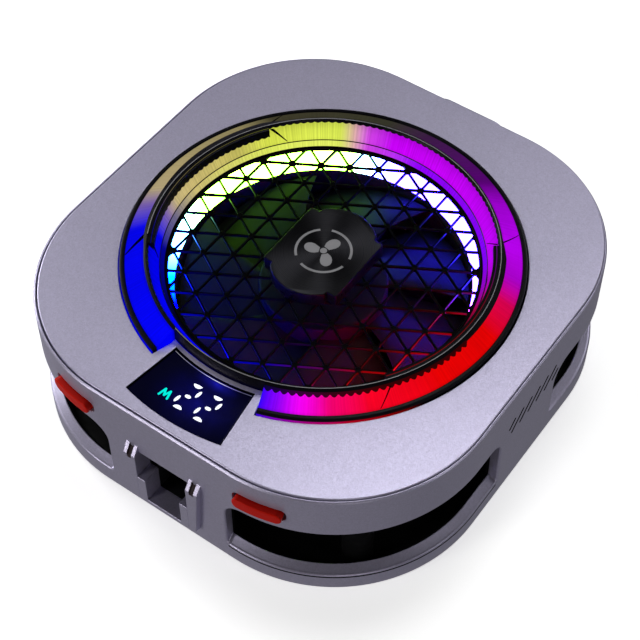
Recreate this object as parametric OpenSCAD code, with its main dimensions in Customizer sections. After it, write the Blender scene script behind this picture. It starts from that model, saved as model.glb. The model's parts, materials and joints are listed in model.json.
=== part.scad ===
// Phone cooler: a thermoelectric stack with a fan above it, in a low case with rounded corners.
// A lit ring runs round the fan grille, and a small window shows the power drawn.
// Millimetres. The origin is the centre of the contact face, +Z is up, and -Y is the display side.

/* [Case] */
// Width of the case, left to right
case_w = 76; // [75:0.5:90]
// Length of the case, front to back
case_l = 80.3; // [80:0.1:95]
// Height of the top face above the contact face
case_h = 24; // [23.8:0.1:30]
// Radius of the case's corners in plan
corner_r = 25.7; // [24:0.1:27]
// Thickness of the side wall
wall = 2; // [1.6:0.1:2.2]
// Thickness of the top cover
cover_t = 1.8; // [1.6:0.1:2]
// Width of the thin rim that the side wall leaves round the top cover
rim_w = 0.6; // [0.4:0.1:0.8]
// How far the rim stays below the top face
rim_drop = 0.35; // [0.2:0.05:0.6]
// Thickness of the base cover
base_t = 1.6; // [1.5:0.1:1.8]
// How far the case stays above the contact face
base_lift = 0.3; // [0.2:0.05:0.35]
// Gap between fixed pieces that slip into each other
fit_gap = 0.1; // [0.05:0.01:0.15]

/* [Corner vents] */
// Height of the vents' lower edge
vent_z0 = 3.8; // [3.4:0.1:4.4]
// Height of the vents' upper edge
vent_z1 = 15; // [14.8:0.1:15.3]
// Distance of a vent's end from the middle of the front or back face
vent_x = 11; // [9:0.1:13]
// Distance of a vent's end from the middle of the left or right face
vent_y = 7.8; // [6:0.1:10]
// Radius of the vents' corners
vent_r = 1.5; // [0.8:0.1:2]

/* [Clip socket] */
// Width of the wide upper part of the socket
clip_w = 9.4; // [9:0.1:10]
// Width of the narrow lower part of the socket
clip_neck_w = 6.4; // [5.6:0.1:7]
// Height of the socket's lower edge
clip_z0 = 4; // [3.9:0.1:4.4]
// Height of the step between the narrow and the wide part
clip_step_z = 9.1; // [8.4:0.1:9.6]
// Height of the socket's upper edge
clip_z1 = 14.3; // [13.4:0.1:14.4]
// Depth of the socket behind the outer face
clip_depth = 6; // [5:0.1:8]
// Width of each rail beside the socket
rail_w = 2.3; // [2:0.1:2.6]
// How much narrower a rail is at its lower end
rail_taper = 1; // [0:0.1:1.3]
// How far the rails stand out of the wall
rail_out = 1.1; // [0.8:0.1:1.4]
// Height of the rails' lower end
rail_z0 = 3.2; // [2.8:0.1:3.4]
// Height of the rails' upper end
rail_z1 = 15.8; // [15.4:0.1:16.6]

/* [Power inlet] */
// Width of the boss round the inlet
boss_w = 13.4; // [12:0.1:15]
// Height of the boss round the inlet
boss_h = 9.4; // [8:0.1:10]
// How far the boss stands out of the back face
boss_out = 3.6; // [2.5:0.1:4]
// Width of the inlet's metal shell
usb_w = 8.94; // [8.9:0.01:9]
// Height of the inlet's metal shell
usb_h = 3.26; // [3.2:0.01:3.3]
// Length of the inlet's metal shell
usb_len = 9.4; // [8.5:0.1:10]
// Thickness of the inlet's metal shell
usb_t = 0.3; // [0.25:0.01:0.35]

/* [Buttons] */
// Length of a button's face
button_len = 7.6; // [6:0.1:8.5]
// Height of a button's face
button_h = 2.1; // [1.8:0.1:2.2]
// How far a button stands out of the wall
button_out = 0.9; // [0.5:0.05:1]
// Angle of a button round its corner, from the front face
button_a = 10.5; // [9:0.5:14]
// Press travel of a button
button_travel = 0.4; // [0.3:0.05:0.5]
// Gap between a button and its slot
slot_gap = 0.2; // [0.15:0.05:0.3]

/* [Cooling stack] */
// Thickness of the soft contact pad
pad_t = 0.4; // [0.4:0.05:0.6]
// Radius of the soft contact pad
pad_r = 19.6; // [18:0.1:20]
// Radius of the cold plate's face
cold_r = 20.4; // [20.2:0.1:21]
// Thickness of the cold plate
cold_t = 2; // [1.9:0.1:2.4]
// Width of the step that seats the cold plate on the base cover
cold_step = 1.4; // [1:0.1:1.5]
// Side of the thermoelectric module
tec_w = 30; // [26:0.5:31]
// Thickness of the thermoelectric module
tec_t = 3.2; // [3.2:0.1:3.6]
// Radius of the heat sink
sink_r = 24.5; // [24:0.1:25]
// Thickness of the heat sink's base
sink_t = 1.2; // [1:0.1:1.6]
// Height of the fins
fin_h = 4; // [3.6:0.1:4.4]
// Thickness of a fin
fin_t = 0.7; // [0.5:0.05:0.8]
// Number of fins
fin_count = 36; // [24:4:40]
// Radius of the circle of heat sink screws
sink_screw_r = 18.6; // [18.4:0.1:19]
// Inner radius of the holding magnets
magnet_r0 = 23.1; // [23:0.1:23.5]
// Outer radius of the holding magnets
magnet_r1 = 27.7; // [27:0.1:28]
// Thickness of the holding magnets
magnet_t = 1.5; // [1.2:0.1:1.6]
// Number of holding magnets
magnet_count = 16; // [12:2:20]

/* [Fan] */
// Radius of the fan duct's bore
duct_r = 23.3; // [23:0.1:23.8]
// Thickness of the fan duct's wall
duct_wall = 2; // [1.8:0.1:2.2]
// Gap between the turning fan and what is fixed round it
run_gap = 0.5; // [0.4:0.05:0.7]
// Height of the blades
blade_h = 5.3; // [5:0.1:5.6]
// Number of blades
blade_count = 7; // [5:1:9]
// Angle that a blade takes up round the hub
blade_a = 47; // [40:1:49]
// Radius of the arc that a blade's edges follow
sweep_r = 26.5; // [24:0.5:32]
// Thickness of a blade
blade_t = 0.8; // [0.6:0.1:1]
// Radius of the fan's hub
hub_r = 10.2; // [9.8:0.1:10.6]
// Radius of the motor shaft
shaft_r = 1; // [0.8:0.05:1.2]
// Radial clearance of the shaft in its sleeve
shaft_gap = 0.03; // [0.02:0.01:0.08]

/* [Ring and grille] */
// Thickness of the glowing wall inside the ring
glow_t = 0.8; // [0.7:0.05:1]
// Width of the ring's inner slope
inner_w = 1.5; // [1.3:0.1:1.8]
// Width of the dark spine along the ring's ridge
spine_w = 0.35; // [0.3:0.05:0.5]
// Width of the ring's outer slope
outer_w = 3.15; // [2.8:0.05:3.3]
// Width of the dark bezel round the ring
bezel_w = 0.8; // [0.6:0.05:1]
// How far the ridge stands above the top face
ridge_up = 2.5; // [2:0.1:3]
// How far the bezel stands above the top face
bezel_up = 0.7; // [0.4:0.05:0.9]
// Half of the angle that the display takes out of the ring
gap_a = 17.7; // [17:0.1:20]
// Half of the angle of the two flat-topped parts of the ring
flat_a = 35; // [30:1:40]
// Distance between the grille's bars
grille_pitch = 4.7; // [4:0.1:5.5]
// Width of the grille's bars
bar_w = 0.4; // [0.35:0.05:0.7]
// Thickness of the grille's bars
bar_t = 0.7; // [0.6:0.05:0.9]
// How far the grille's bars lie below the top face
grille_drop = 1.4; // [1.2:0.1:1.8]
// Width of the hub badge
badge_w = 13.7; // [12:0.1:14]
// Length of the hub badge's straight sides
badge_side = 12.8; // [11:0.1:13]
// Overall length of the hub badge
badge_l = 18.6; // [17:0.1:19]
// Radius of the hub badge's round ends
badge_end_r = 6.8; // [6.4:0.1:7]
// How far the hub badge stands above the top face
badge_up = 0.9; // [0.6:0.1:1.2]

/* [Display] */
// Length of the window from its inner to its outer arc
window_l = 9.8; // [9:0.1:9.9]
// Width of the window at its inner end
window_w0 = 14.6; // [14.2:0.1:15]
// Width of the window at its outer end
window_w1 = 17.4; // [16.6:0.1:18]
// Thickness of the window
window_t = 0.9; // [0.8:0.05:1]
// Width of the ledge that the window lies on
window_ledge = 0.8; // [0.6:0.05:0.9]

/* [Side strokes] */
// Number of engraved strokes on the right face, with a half stroke at each end
stroke_count = 7; // [5:1:8]
// Distance between two strokes, along the face
stroke_pitch = 2.37; // [2:0.05:2.5]
// Length of a whole stroke
stroke_l = 4.4; // [3.6:0.1:4.8]
// Width of a stroke
stroke_w = 0.55; // [0.3:0.05:0.7]
// Depth of a stroke
stroke_d = 0.25; // [0.15:0.05:0.4]

/* [Hidden] */
$fn = 96;

// A little more than zero, to cut clean through a face
cut = 0.5;
// Longer than the case in any direction, for cuts that run out of it
far = 70;
// Seam between bonded pieces
seam = 0.05;

// Heights of the case
z_frame0 = base_lift;
z_base1 = base_lift + base_t;
z_cover0 = case_h - cover_t;
z_rim1 = case_h - rim_drop;

// Heights of the cooling stack
z_cold1 = pad_t + cold_t;
z_sink0 = z_cold1 + tec_t;
z_fin0 = z_sink0 + sink_t;
z_fin1 = z_fin0 + fin_h;

// Heights of the fan
spoke_gap = 0.3;
spoke_t = 0.9;
spoke_w = 1.6;
spoke_count = 4;
motor_r = 8.6;
z_spoke0 = z_fin1 + spoke_gap;
z_spoke1 = z_spoke0 + spoke_t;
z_blade0 = z_spoke1 + run_gap;
z_blade1 = z_blade0 + blade_h;
z_duct1 = z_blade1 + run_gap;
blade_r = duct_r - run_gap;
duct_out = duct_r + duct_wall;

// Chassis plate, with the control board on it
plate_t = 1.2;
board_t = 1;
board_inset = 4.4;
plate_over = 0.4;
z_plate0 = vent_z1 + plate_over;
z_board0 = z_plate0 + plate_t;
z_board1 = z_board0 + board_t;

// Corner posts, which take the case screws
post_r = 2.4;
post_gap = 0.6;
post_reach = (corner_r - wall - post_gap - post_r) * cos(45);
post_x = case_w / 2 - corner_r + post_reach;
post_y = case_l / 2 - corner_r + post_reach;
case_screw_r = 0.9;
case_head_r = 1.9;
case_head_h = 0.7;
case_screw_len = 7;

// Radii of the ring, from the glowing wall out to the bezel
glow_in = duct_out - glow_t;
ring_in = duct_out + fit_gap;
inner_out = ring_in + inner_w;
spine_in = inner_out + seam;
spine_out = spine_in + spine_w;
outer_in = spine_out + seam;
outer_out = outer_in + outer_w;
bezel_in = outer_out + seam;
ring_r = bezel_in + bezel_w;
grille_r = glow_in - fit_gap;
grille_rim = 0.45;
grille_lip = 0.15;

// Heights of the ring, counted from the top face
ring_sink = 0.2;
z_ring0 = z_cover0 - ring_sink;
z_ridge = case_h + ridge_up;
z_bezel1 = case_h + bezel_up;
glow_drop = 0.5;
glow_slope = 1;
glow_foot = 0.25;
z_glow1 = case_h - glow_drop;
z_grille1 = case_h - grille_drop;
z_grille0 = z_grille1 - bar_t;
tray_depth = 5.6;
tray_t = 1;
z_tray0 = case_h - tray_depth;
z_led0 = z_tray0 + tray_t;
led_board_t = 0.8;
led_h = 0.8;
led_w = 1.6;
led_count = 24;
flange_w = 1.6;
flange_t = 1.4;
ear_r = 2.2;
ring_screw_pos = ring_r + ear_r;
ring_screw_r = 0.75;
ring_head_r = 1.4;
ring_head_h = 0.9;
ring_screw_skin = 0.5;

// Caps on the flat-topped parts, and how far the slopes stay below the ridge and the bezel
cap_w = 0.95;
cap_t = 1;
cap_end_a = 0.2;
z_cap0 = z_ridge - cap_t - seam;
outer_top_drop = 0.15;
outer_edge_drop = 0.1;
inner_top_drop = 0.3;

// Plain middle of the grille, under the badge, and the badge's stepped corners
middle_r = 6.6;
badge_corner = 1.7;

// Where the display gap starts and ends, anticlockwise from +X
front_a = -90;
ring_a0 = front_a + gap_a;
ring_a1 = front_a + 360 - gap_a;

// Window: its arcs and its place
window_edge = 0.7;
window_r0 = spine_out + fit_gap + window_edge;
window_r1 = window_r0 + window_l;
z_window0 = case_h - window_t;
window_over = 1;
display_in = 0.8;
display_back = 0.2;
tongue_gap_a = 0.4;

// Buttons: bar, flange behind the wall and switch
button_rise = 1.1;
button_z = z_board1 + button_rise;
flange_gap = 0.3;
button_flange_t = 0.9;
button_flange_extra = 0.8;
nub_r = 0.7;
nub_len = 0.8;
button_x = case_w / 2 - corner_r;
button_y = -(case_l / 2 - corner_r);
flange_out = corner_r - wall - flange_gap;
flange_in = flange_out - button_flange_t;
nub_in = flange_in - nub_len;
plunger_r = 0.5;
plunger_len = 0.6;
press_gap = 0.15;
plunger_out = nub_in - button_travel - press_gap;
switch_out = plunger_out - plunger_len;
switch_w = 3.4;
switch_d = 2.4;
switch_h = 2;

// Inlet: under the control board, its mouth just inside the boss
usb_z = z_board0 - usb_h / 2;
mouth_drop = 0.15;
usb_y1 = case_l / 2 + boss_out - mouth_drop;
usb_y0 = usb_y1 - usb_len;
tongue_block = 2.2;
tongue_w = 6.6;
tongue_t = 0.7;
tongue_drop = 1;
boss_r = 2.2;
boss_up = 0.5;
notch_gap = 0.4;
hole_gap = 0.2;

// Clip socket wall behind the case wall
pocket_t = 0.8;
groove_w = 0.6;
groove_d = 0.5;
rail_slope = 1.7;

// Engraved strokes: place on the face and slant
stroke_y = 1;
stroke_up = 0.6;
stroke_slant = 45;

// Leads of the thermoelectric module
lead_r = 0.6;
lead_gap = 4;
lead_bend = 1.6;
lead_clear = 3.7;
lead_x = duct_out + lead_clear;
z_lead = z_cold1 + tec_t / 2;

// Plates of the thermoelectric module, and where the fins start and end
tec_plate = 0.7;
tec_edge = 0.7;
fin_r0 = 8;
fin_end = 0.2;

// Heat sink screws
sink_screw_shank = 0.9;
sink_head_r = 1.8;
sink_head_h = 1.3;
sink_screw_hole = 1.1;
screw_floor = 0.4;
screw_end_gap = 0.2;

// Base cover: depth of the magnets' groove, height of the screws' seat, gap between magnets
magnet_seat = 0.9;
screw_seat_t = 0.8;
z_screw_seat = base_lift + screw_seat_t;
magnet_gap_a = 1;
shield_t = 0.4;

// Motor: sleeve, circuit board, iron core and windings on the chassis, cup and magnet in the hub
sleeve_r = 2.6;
sleeve_up = 0.6;
shaft_lift = 0.15;
motor_board_r = 7;
motor_board_t = 0.6;
magnet_ring_t = 0.9;
yoke_t = 0.6;
hub_wall = 1;
hub_up = 0.2;
air_gap = 0.4;
core_lift = 1;
core_h = 2.4;
arm_w = 2;
core_ring = 1.3;
shoe_t = 0.9;
shoe_gap = 1.6;
coil_t = 0.35;
yoke_r = hub_r - hub_wall - seam;
rotor_magnet_r = yoke_r - yoke_t - seam;
core_r = rotor_magnet_r - magnet_ring_t - air_gap;
z_core0 = z_spoke1 + core_lift;
z_rotor0 = z_core0;
z_hub1 = z_blade1 + hub_up;
z_yoke1 = z_hub1 - hub_wall - seam;

// A plain round bar between two heights
module disc(r, z0, z1) {
    translate([0, 0, z0])
        cylinder(r = r, h = z1 - z0);
}

// A round tube between two heights
module tube(r_out, r_in, z0, z1) {
    difference() {
        disc(r_out, z0, z1);
        disc(r_in, z0 - cut, z1 + cut);
    }
}

// A profile of radius and height, swept between two angles about the axis
module sweep(points, a0, a1) {
    rotate([0, 0, a0])
        rotate_extrude(angle = a1 - a0)
            polygon(points);
}

// The case's outline in plan, drawn in by an inset, between two heights
module slab(inset, z0, z1) {
    w = case_w - 2 * inset;
    l = case_l - 2 * inset;
    r = corner_r - inset;
    translate([0, 0, z0])
        linear_extrude(z1 - z0) {
            square([w - 2 * r, l], center = true);
            square([w, l - 2 * r], center = true);
            for (x = [-1, 1], y = [-1, 1])
                translate([x * (w / 2 - r), y * (l / 2 - r)])
                    circle(r);
        }
}

// A bar with round ends, its length along X, between two places along Y
module round_bar(len, h, y0, y1) {
    straight = len - h;
    translate([0, y1, 0])
        rotate([90, 0, 0])
            linear_extrude(y1 - y0) {
                square([straight, h], center = true);
                for (x = [-1, 1])
                    translate([x * straight / 2, 0])
                        circle(h / 2);
            }
}

// A screw that points up: head below the given height, shank above it
module screw_up(head_r, head_h, shank_r, len) {
    difference() {
        union() {
            disc(head_r, -head_h, 0);
            disc(shank_r, -head_h / 2, len);
        }
        translate([0, 0, -head_h - cut])
            cylinder(r = head_r / 2, h = cut + head_h / 2, $fn = 6);
    }
}

// Places its children at the four corner posts
module at_posts() {
    for (x = [-1, 1], y = [-1, 1])
        translate([x * post_x, y * post_y, 0])
            children();
}

// Places its children at the heat sink screws
module at_sink_screws() {
    for (a = [0:90:270])
        rotate([0, 0, a])
            translate([sink_screw_r, 0, 0])
                children();
}

// Places its children at the ring screws
module at_ring_screws() {
    for (a = [45:90:315])
        rotate([0, 0, a])
            translate([ring_screw_pos, 0, 0])
                children();
}

// Turns its children to a button's own frame: its face points along -Y, from the corner's centre
module at_button(side) {
    translate([side * button_x, button_y, button_z])
        rotate([0, 0, side * button_a])
            children();
}

// Soft pad under the cold plate, which touches the phone
module contact_pad() {
    color("dimgray")
        disc(pad_r, 0, pad_t);
}

// Soft ring under the magnets, which keeps the phone from scratches
module base_ring() {
    color("gray")
        tube(magnet_r1, magnet_r0, 0, base_lift);
}

// Base cover, with a hole for the cold plate and a groove for the magnets
module base_cover() {
    color("silver")
        difference() {
            slab(wall + fit_gap, z_frame0, z_base1);
            disc(cold_r + fit_gap, 0, z_base1 + cut);
            tube(magnet_r1 + fit_gap, magnet_r0 - fit_gap, z_base1 - magnet_seat, z_base1 + cut);
            at_posts() {
                disc(case_screw_r + fit_gap, 0, z_base1 + cut);
                disc(case_head_r + fit_gap, 0, z_screw_seat);
            }
        }
}

// Holding magnets, set side by side in the base cover's groove
module magnets() {
    z0 = z_base1 - magnet_seat;
    step = 360 / magnet_count;
    color("dimgray")
        for (i = [0:magnet_count - 1])
            sweep([
                [magnet_r0, z0], [magnet_r1, z0], [magnet_r1, z0 + magnet_t], [magnet_r0, z0 + magnet_t]
            ], i * step + magnet_gap_a, (i + 1) * step - magnet_gap_a);
}

// Steel ring over the magnets, which keeps their field on the phone's side
module magnet_shield() {
    z0 = z_base1 - magnet_seat + magnet_t;
    color("slategray")
        tube(magnet_r1, magnet_r0, z0, z0 + shield_t);
}

// Cold plate, stepped to sit in the base cover
module cold_plate() {
    color("lightgray")
        difference() {
            union() {
                disc(cold_r, pad_t, z_cold1);
                disc(cold_r + cold_step, z_base1, z_cold1);
            }
            at_sink_screws()
                disc(sink_screw_shank + seam, pad_t + screw_floor, z_cold1 + cut);
        }
}

// Thermoelectric module: two ceramic plates and the sealed core between them
module peltier_module() {
    core = tec_w - 2 * tec_edge;
    color("white") {
        translate([-tec_w / 2, -tec_w / 2, z_cold1])
            cube([tec_w, tec_w, tec_plate]);
        translate([-core / 2, -core / 2, z_cold1])
            cube([core, core, tec_t]);
        translate([-tec_w / 2, -tec_w / 2, z_sink0 - tec_plate])
            cube([tec_w, tec_w, tec_plate]);
    }
}

// Foam frame round the module, which keeps the hot and the cold side apart
module insulation_frame() {
    hole = tec_w + 2 * fit_gap;
    color("darkslategray")
        difference() {
            disc(cold_r + cold_step, z_cold1, z_sink0);
            translate([-hole / 2, -hole / 2, z_cold1 - cut])
                cube([hole, hole, tec_t + 2 * cut]);
            at_sink_screws()
                disc(sink_screw_hole + fit_gap, z_cold1 - cut, z_sink0 + cut);
            for (y = [-1, 1])
                translate([0, y * lead_gap / 2, z_lead])
                    rotate([0, 90, 0])
                        cylinder(r = lead_r + fit_gap, h = far);
        }
}

// The module's two leads, which run out under the heat sink and up to the control board
module peltier_leads() {
    color("firebrick")
        for (y = [-1, 1])
            translate([0, y * lead_gap / 2, 0])
                peltier_lead();
}

module peltier_lead() {
    x0 = tec_w / 2 + seam;
    x1 = lead_x - lead_bend;
    z1 = z_lead + lead_bend;
    translate([x0, 0, z_lead])
        rotate([0, 90, 0])
            cylinder(r = lead_r, h = x1 - x0);
    translate([x1, 0, z1])
        rotate([90, 0, 0])
            rotate([0, 0, -90])
                rotate_extrude(angle = 90)
                    translate([lead_bend, 0])
                        circle(lead_r);
    translate([lead_x, 0, z1])
        cylinder(r = lead_r, h = z_board0 - z1);
}

// Heat sink: a round base with fins that run outwards
module heat_sink() {
    step = 360 / fin_count;
    color("gray")
        difference() {
            union() {
                disc(sink_r, z_sink0, z_fin0);
                for (i = [0:fin_count - 1])
                    rotate([0, 0, (i + 0.5) * step])
                        translate([fin_r0, -fin_t / 2, z_sink0 + sink_t / 2])
                            cube([sink_r - fin_end - fin_r0, fin_t, fin_h + sink_t / 2]);
            }
            at_sink_screws() {
                disc(sink_screw_hole, z_sink0 - cut, z_fin0 + cut);
                disc(sink_head_r + 2 * fit_gap, z_fin0, z_fin1 + cut);
            }
        }
}

// Screws that clamp the heat sink to the cold plate
module sink_screws() {
    len = z_fin0 - pad_t - screw_floor - screw_end_gap;
    color("silver")
        at_sink_screws()
            translate([0, 0, z_fin0])
                mirror([0, 0, 1])
                    screw_up(sink_head_r, sink_head_h, sink_screw_shank, len);
}

// Chassis: a plate over the vents, the fan duct, the motor's seat on spokes, and the corner posts
module chassis() {
    usb_notch = usb_w + 2 * notch_gap;
    color("black") {
        difference() {
            union() {
                slab(wall + fit_gap, z_plate0, z_board0);
                disc(duct_out, z_spoke0, z_duct1);
                at_posts()
                    disc(post_r, z_base1, z_plate0 + plate_t / 2);
            }
            disc(duct_r, z_spoke0 - cut, z_duct1 + cut);
            at_posts()
                disc(case_screw_r + seam, z_base1 - cut, z_base1 + case_screw_len);
            translate([-usb_notch / 2, usb_y0 - notch_gap, z_plate0 - cut])
                cube([usb_notch, far, plate_t + 2 * cut]);
            for (y = [-1, 1])
                translate([lead_x, y * lead_gap / 2, 0])
                    disc(lead_r + fit_gap, z_plate0 - cut, z_board0 + cut);
        }
        disc(motor_r, z_spoke0, z_spoke1);
        for (i = [0:spoke_count - 1])
            rotate([0, 0, (i + 0.5) * 360 / spoke_count])
                translate([0, -spoke_w / 2, z_spoke0])
                    cube([duct_r + duct_wall / 2, spoke_w, spoke_t]);
    }
}

// Screws that hold the base cover to the corner posts
module case_screws() {
    color("silver")
        at_posts()
            translate([0, 0, z_screw_seat])
                screw_up(case_head_r, case_head_h, case_screw_r, case_screw_len);
}

// The motor's circuit board, on the chassis
module motor_board() {
    color("darkgreen")
        tube(motor_board_r, sleeve_r + fit_gap, z_spoke1, z_spoke1 + motor_board_t);
}

// Sleeve that the shaft turns in
module bearing_sleeve() {
    color("goldenrod")
        tube(sleeve_r, shaft_r + shaft_gap, z_spoke1, z_core0 + core_h + sleeve_up);
}

// Iron core with four arms and curved shoes
module stator_core() {
    z1 = z_core0 + core_h;
    color("slategray") {
        tube(sleeve_r + seam + core_ring, sleeve_r + seam, z_core0, z1);
        difference() {
            tube(core_r, core_r - shoe_t, z_core0, z1);
            for (a = [45, 135])
                rotate([0, 0, a])
                    translate([-far / 2, -shoe_gap / 2, z_core0 - cut])
                        cube([far, shoe_gap, core_h + 2 * cut]);
        }
        for (a = [0:90:270])
            rotate([0, 0, a])
                translate([sleeve_r + core_ring / 2, -arm_w / 2, z_core0])
                    cube([core_r - shoe_t / 2 - sleeve_r - core_ring / 2, arm_w, core_h]);
    }
}

// One winding round each arm of the core
module stator_coils() {
    x0 = sleeve_r + seam + core_ring + 3 * seam;
    half = arm_w / 2 + coil_t;
    shoe_in = core_r - shoe_t - 2 * seam;
    len = sqrt(shoe_in * shoe_in - half * half) - x0;
    color("peru")
        for (a = [0:90:270])
            rotate([0, 0, a])
                difference() {
                    translate([x0, -half, z_core0 - coil_t])
                        cube([len, 2 * half, core_h + 2 * coil_t]);
                    translate([x0 - cut, -arm_w / 2 - seam / 2, z_core0 - seam / 2])
                        cube([len + 2 * cut, arm_w + seam, core_h + seam]);
                }
}

// Shaft, fixed in the fan's hub and turning in the sleeve
module motor_shaft() {
    color("silver")
        disc(shaft_r, z_spoke1 + shaft_lift, z_hub1);
}

// Steel cup in the fan's hub
module rotor_yoke() {
    color("gray")
        difference() {
            disc(yoke_r, z_rotor0, z_yoke1);
            disc(yoke_r - yoke_t, z_rotor0 - cut, z_yoke1 - yoke_t);
            disc(shaft_r + seam, z_rotor0, z_yoke1 + cut);
        }
}

// Ring magnet in the steel cup
module rotor_magnet() {
    color("dimgray")
        tube(rotor_magnet_r, rotor_magnet_r - magnet_ring_t, z_rotor0, z_yoke1 - yoke_t - seam);
}

// One swept blade: a tilted plate between two arcs that start at the fan's axis
module fan_blade() {
    span = 2 * blade_r * sin(blade_a / 2);
    pitch = atan((blade_h - blade_t) / span);
    lag = asin(blade_r / (2 * sweep_r));
    intersection() {
        disc(blade_r, z_blade0, z_blade1);
        translate([0, 0, (z_blade0 + z_blade1) / 2])
            rotate([-pitch, 0, 0])
                cube([2 * duct_out, 2 * duct_out, blade_t], center = true);
        difference() {
            rotate([0, 0, lag + blade_a / 2])
                translate([0, -sweep_r, 0])
                    disc(sweep_r, z_blade0 - cut, z_blade1 + cut);
            rotate([0, 0, lag - blade_a / 2])
                translate([0, -sweep_r, 0])
                    disc(sweep_r, z_blade0 - 2 * cut, z_blade1 + 2 * cut);
        }
    }
}

// Fan: a hub with broad swept blades
module fan_rotor() {
    color("darkslateblue")
        difference() {
            union() {
                disc(hub_r, z_blade0, z_hub1);
                for (i = [0:blade_count - 1])
                    rotate([0, 0, i * 360 / blade_count])
                        fan_blade();
            }
            disc(hub_r - hub_wall, z_blade0 - cut, z_hub1 - hub_wall);
            disc(shaft_r + seam / 2, z_blade0, z_hub1 + cut);
        }
}

// Control board, a frame round the fan duct
module control_board() {
    color("darkgreen")
        difference() {
            slab(board_inset, z_board0, z_board1);
            disc(duct_out + 3 * fit_gap, z_board0 - cut, z_board1 + cut);
        }
}

// Switch on the control board, behind a button
module button_switch(side) {
    color("dimgray")
        at_button(side) {
            translate([-switch_w / 2, -switch_out, z_board1 - button_z])
                cube([switch_w, switch_d, switch_h]);
            translate([0, -switch_out + switch_d / 2, 0])
                rotate([90, 0, 0])
                    cylinder(r = plunger_r, h = plunger_len + switch_d / 2);
        }
}

module left_switch() {
    button_switch(-1);
}

module right_switch() {
    button_switch(1);
}

// Button: a bar with a curved face, a flange behind the wall and a nub for the switch
module button(side) {
    flange_len = button_len + 2 * button_flange_extra;
    color("firebrick")
        at_button(side) {
            intersection() {
                round_bar(button_len, button_h, -far / 2, -flange_in - button_flange_t / 2);
                disc(corner_r + button_out, -button_h, button_h);
            }
            intersection() {
                round_bar(flange_len, button_h, -far / 2, 0);
                tube(flange_out, flange_in, -button_h, button_h);
            }
            translate([0, -nub_in, 0])
                rotate([90, 0, 0])
                    cylinder(r = nub_r, h = nub_len + button_flange_t / 2);
        }
}

module left_button() {
    button(-1);
}

module right_button() {
    button(1);
}

// Slot that a button slides in
module button_slot(side) {
    at_button(side)
        round_bar(button_len + 2 * slot_gap, button_h + 2 * slot_gap, -far / 2, -flange_in);
}

// Power inlet: the metal shell
module usb_shell() {
    color("silver")
        translate([0, 0, usb_z])
            difference() {
                round_bar(usb_w, usb_h, usb_y0, usb_y1);
                round_bar(usb_w - 2 * usb_t, usb_h - 2 * usb_t, usb_y0 - cut, usb_y1 + cut);
            }
}

// Power inlet: the contact tongue and the block that holds it
module usb_tongue() {
    slip = 2 * usb_t + seam;
    color("black")
        translate([0, 0, usb_z]) {
            round_bar(usb_w - slip, usb_h - slip, usb_y0, usb_y0 + tongue_block);
            translate([-tongue_w / 2, usb_y0 + tongue_block / 2, -tongue_t / 2])
                cube([tongue_w, usb_len - tongue_block / 2 - tongue_drop, tongue_t]);
        }
}

// Space that a clip's tongue takes: wide above, narrow below
module clip_space(y0, y1) {
    translate([-clip_w / 2, y0, clip_step_z])
        cube([clip_w, y1 - y0, clip_z1 - clip_step_z]);
    translate([-clip_neck_w / 2, y0, clip_z0])
        cube([clip_neck_w, y1 - y0, clip_z1 - clip_z0]);
}

// Lining of the clip socket, behind the case wall
module clip_pocket() {
    w = clip_w + 2 * pocket_t;
    y0 = -case_l / 2 + wall;
    y1 = -case_l / 2 + clip_depth;
    z1 = min(clip_z1 + pocket_t, z_plate0);
    color("dimgray")
        difference() {
            translate([-w / 2, y0, z_base1])
                cube([w, y1 + pocket_t - y0, z1 - z_base1]);
            clip_space(y0 - cut, y1);
        }
}

// Side view of the plate round the clip socket, up to a height and sloped over its last part
module clip_side(width, top, slope) {
    y0 = -case_l / 2;
    root = wall / 2;
    rotate([90, 0, 90])
        linear_extrude(width)
            polygon([
                [y0 + root, rail_z0], [y0, rail_z0], [y0 - rail_out, rail_z0 + rail_out / 2],
                [y0 - rail_out, top - slope], [y0, top], [y0 + root, top]
            ]);
}

// One of the two rails beside the clip socket, narrower below, sloped at the top and grooved for a hinge pin
module clip_rail() {
    y0 = -case_l / 2;
    reach = wall + rail_out;
    difference() {
        intersection() {
            clip_side(rail_w, rail_z1, rail_slope);
            translate([0, y0 + wall / 2, 0])
                rotate([90, 0, 0])
                    linear_extrude(reach)
                        polygon([
                            [0, rail_z0], [rail_w - rail_taper, rail_z0], [rail_w, rail_z1], [0, rail_z1]
                        ]);
        }
        translate([(rail_w - groove_w) / 2, 0, 0])
            rotate([90, 0, 90])
                linear_extrude(groove_w)
                    polygon([
                        [y0, rail_z1 - groove_d], [y0, rail_z1 + cut], [y0 - rail_out - cut, rail_z1 + cut],
                        [y0 - rail_out - cut, rail_z1 - groove_d - rail_slope * (rail_out + cut) / rail_out]
                    ]);
    }
}

// Block between the rails, which the narrow part of the socket is cut into
module clip_block() {
    translate([-clip_w / 2, 0, 0])
        clip_side(clip_w, clip_step_z, 0);
}

// Boss round the power inlet
module inlet_boss() {
    y0 = case_l / 2 - wall / 2;
    y1 = case_l / 2 + boss_out;
    translate([0, y1, usb_z + boss_up])
        rotate([90, 0, 0])
            linear_extrude(y1 - y0) {
                square([boss_w - 2 * boss_r, boss_h], center = true);
                square([boss_w, boss_h - 2 * boss_r], center = true);
                for (x = [-1, 1], z = [-1, 1])
                    translate([x * (boss_w / 2 - boss_r), z * (boss_h / 2 - boss_r)])
                        circle(boss_r);
            }
}

// End of a vent as seen square to a face: a slot with rounded corners
module vent_profile(start) {
    translate([start + vent_r, vent_z0])
        square([far, vent_z1 - vent_z0]);
    translate([start, vent_z0 + vent_r])
        square([far, vent_z1 - vent_z0 - 2 * vent_r]);
    for (z = [vent_z0 + vent_r, vent_z1 - vent_r])
        translate([start + vent_r, z])
            circle(vent_r);
}

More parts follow.
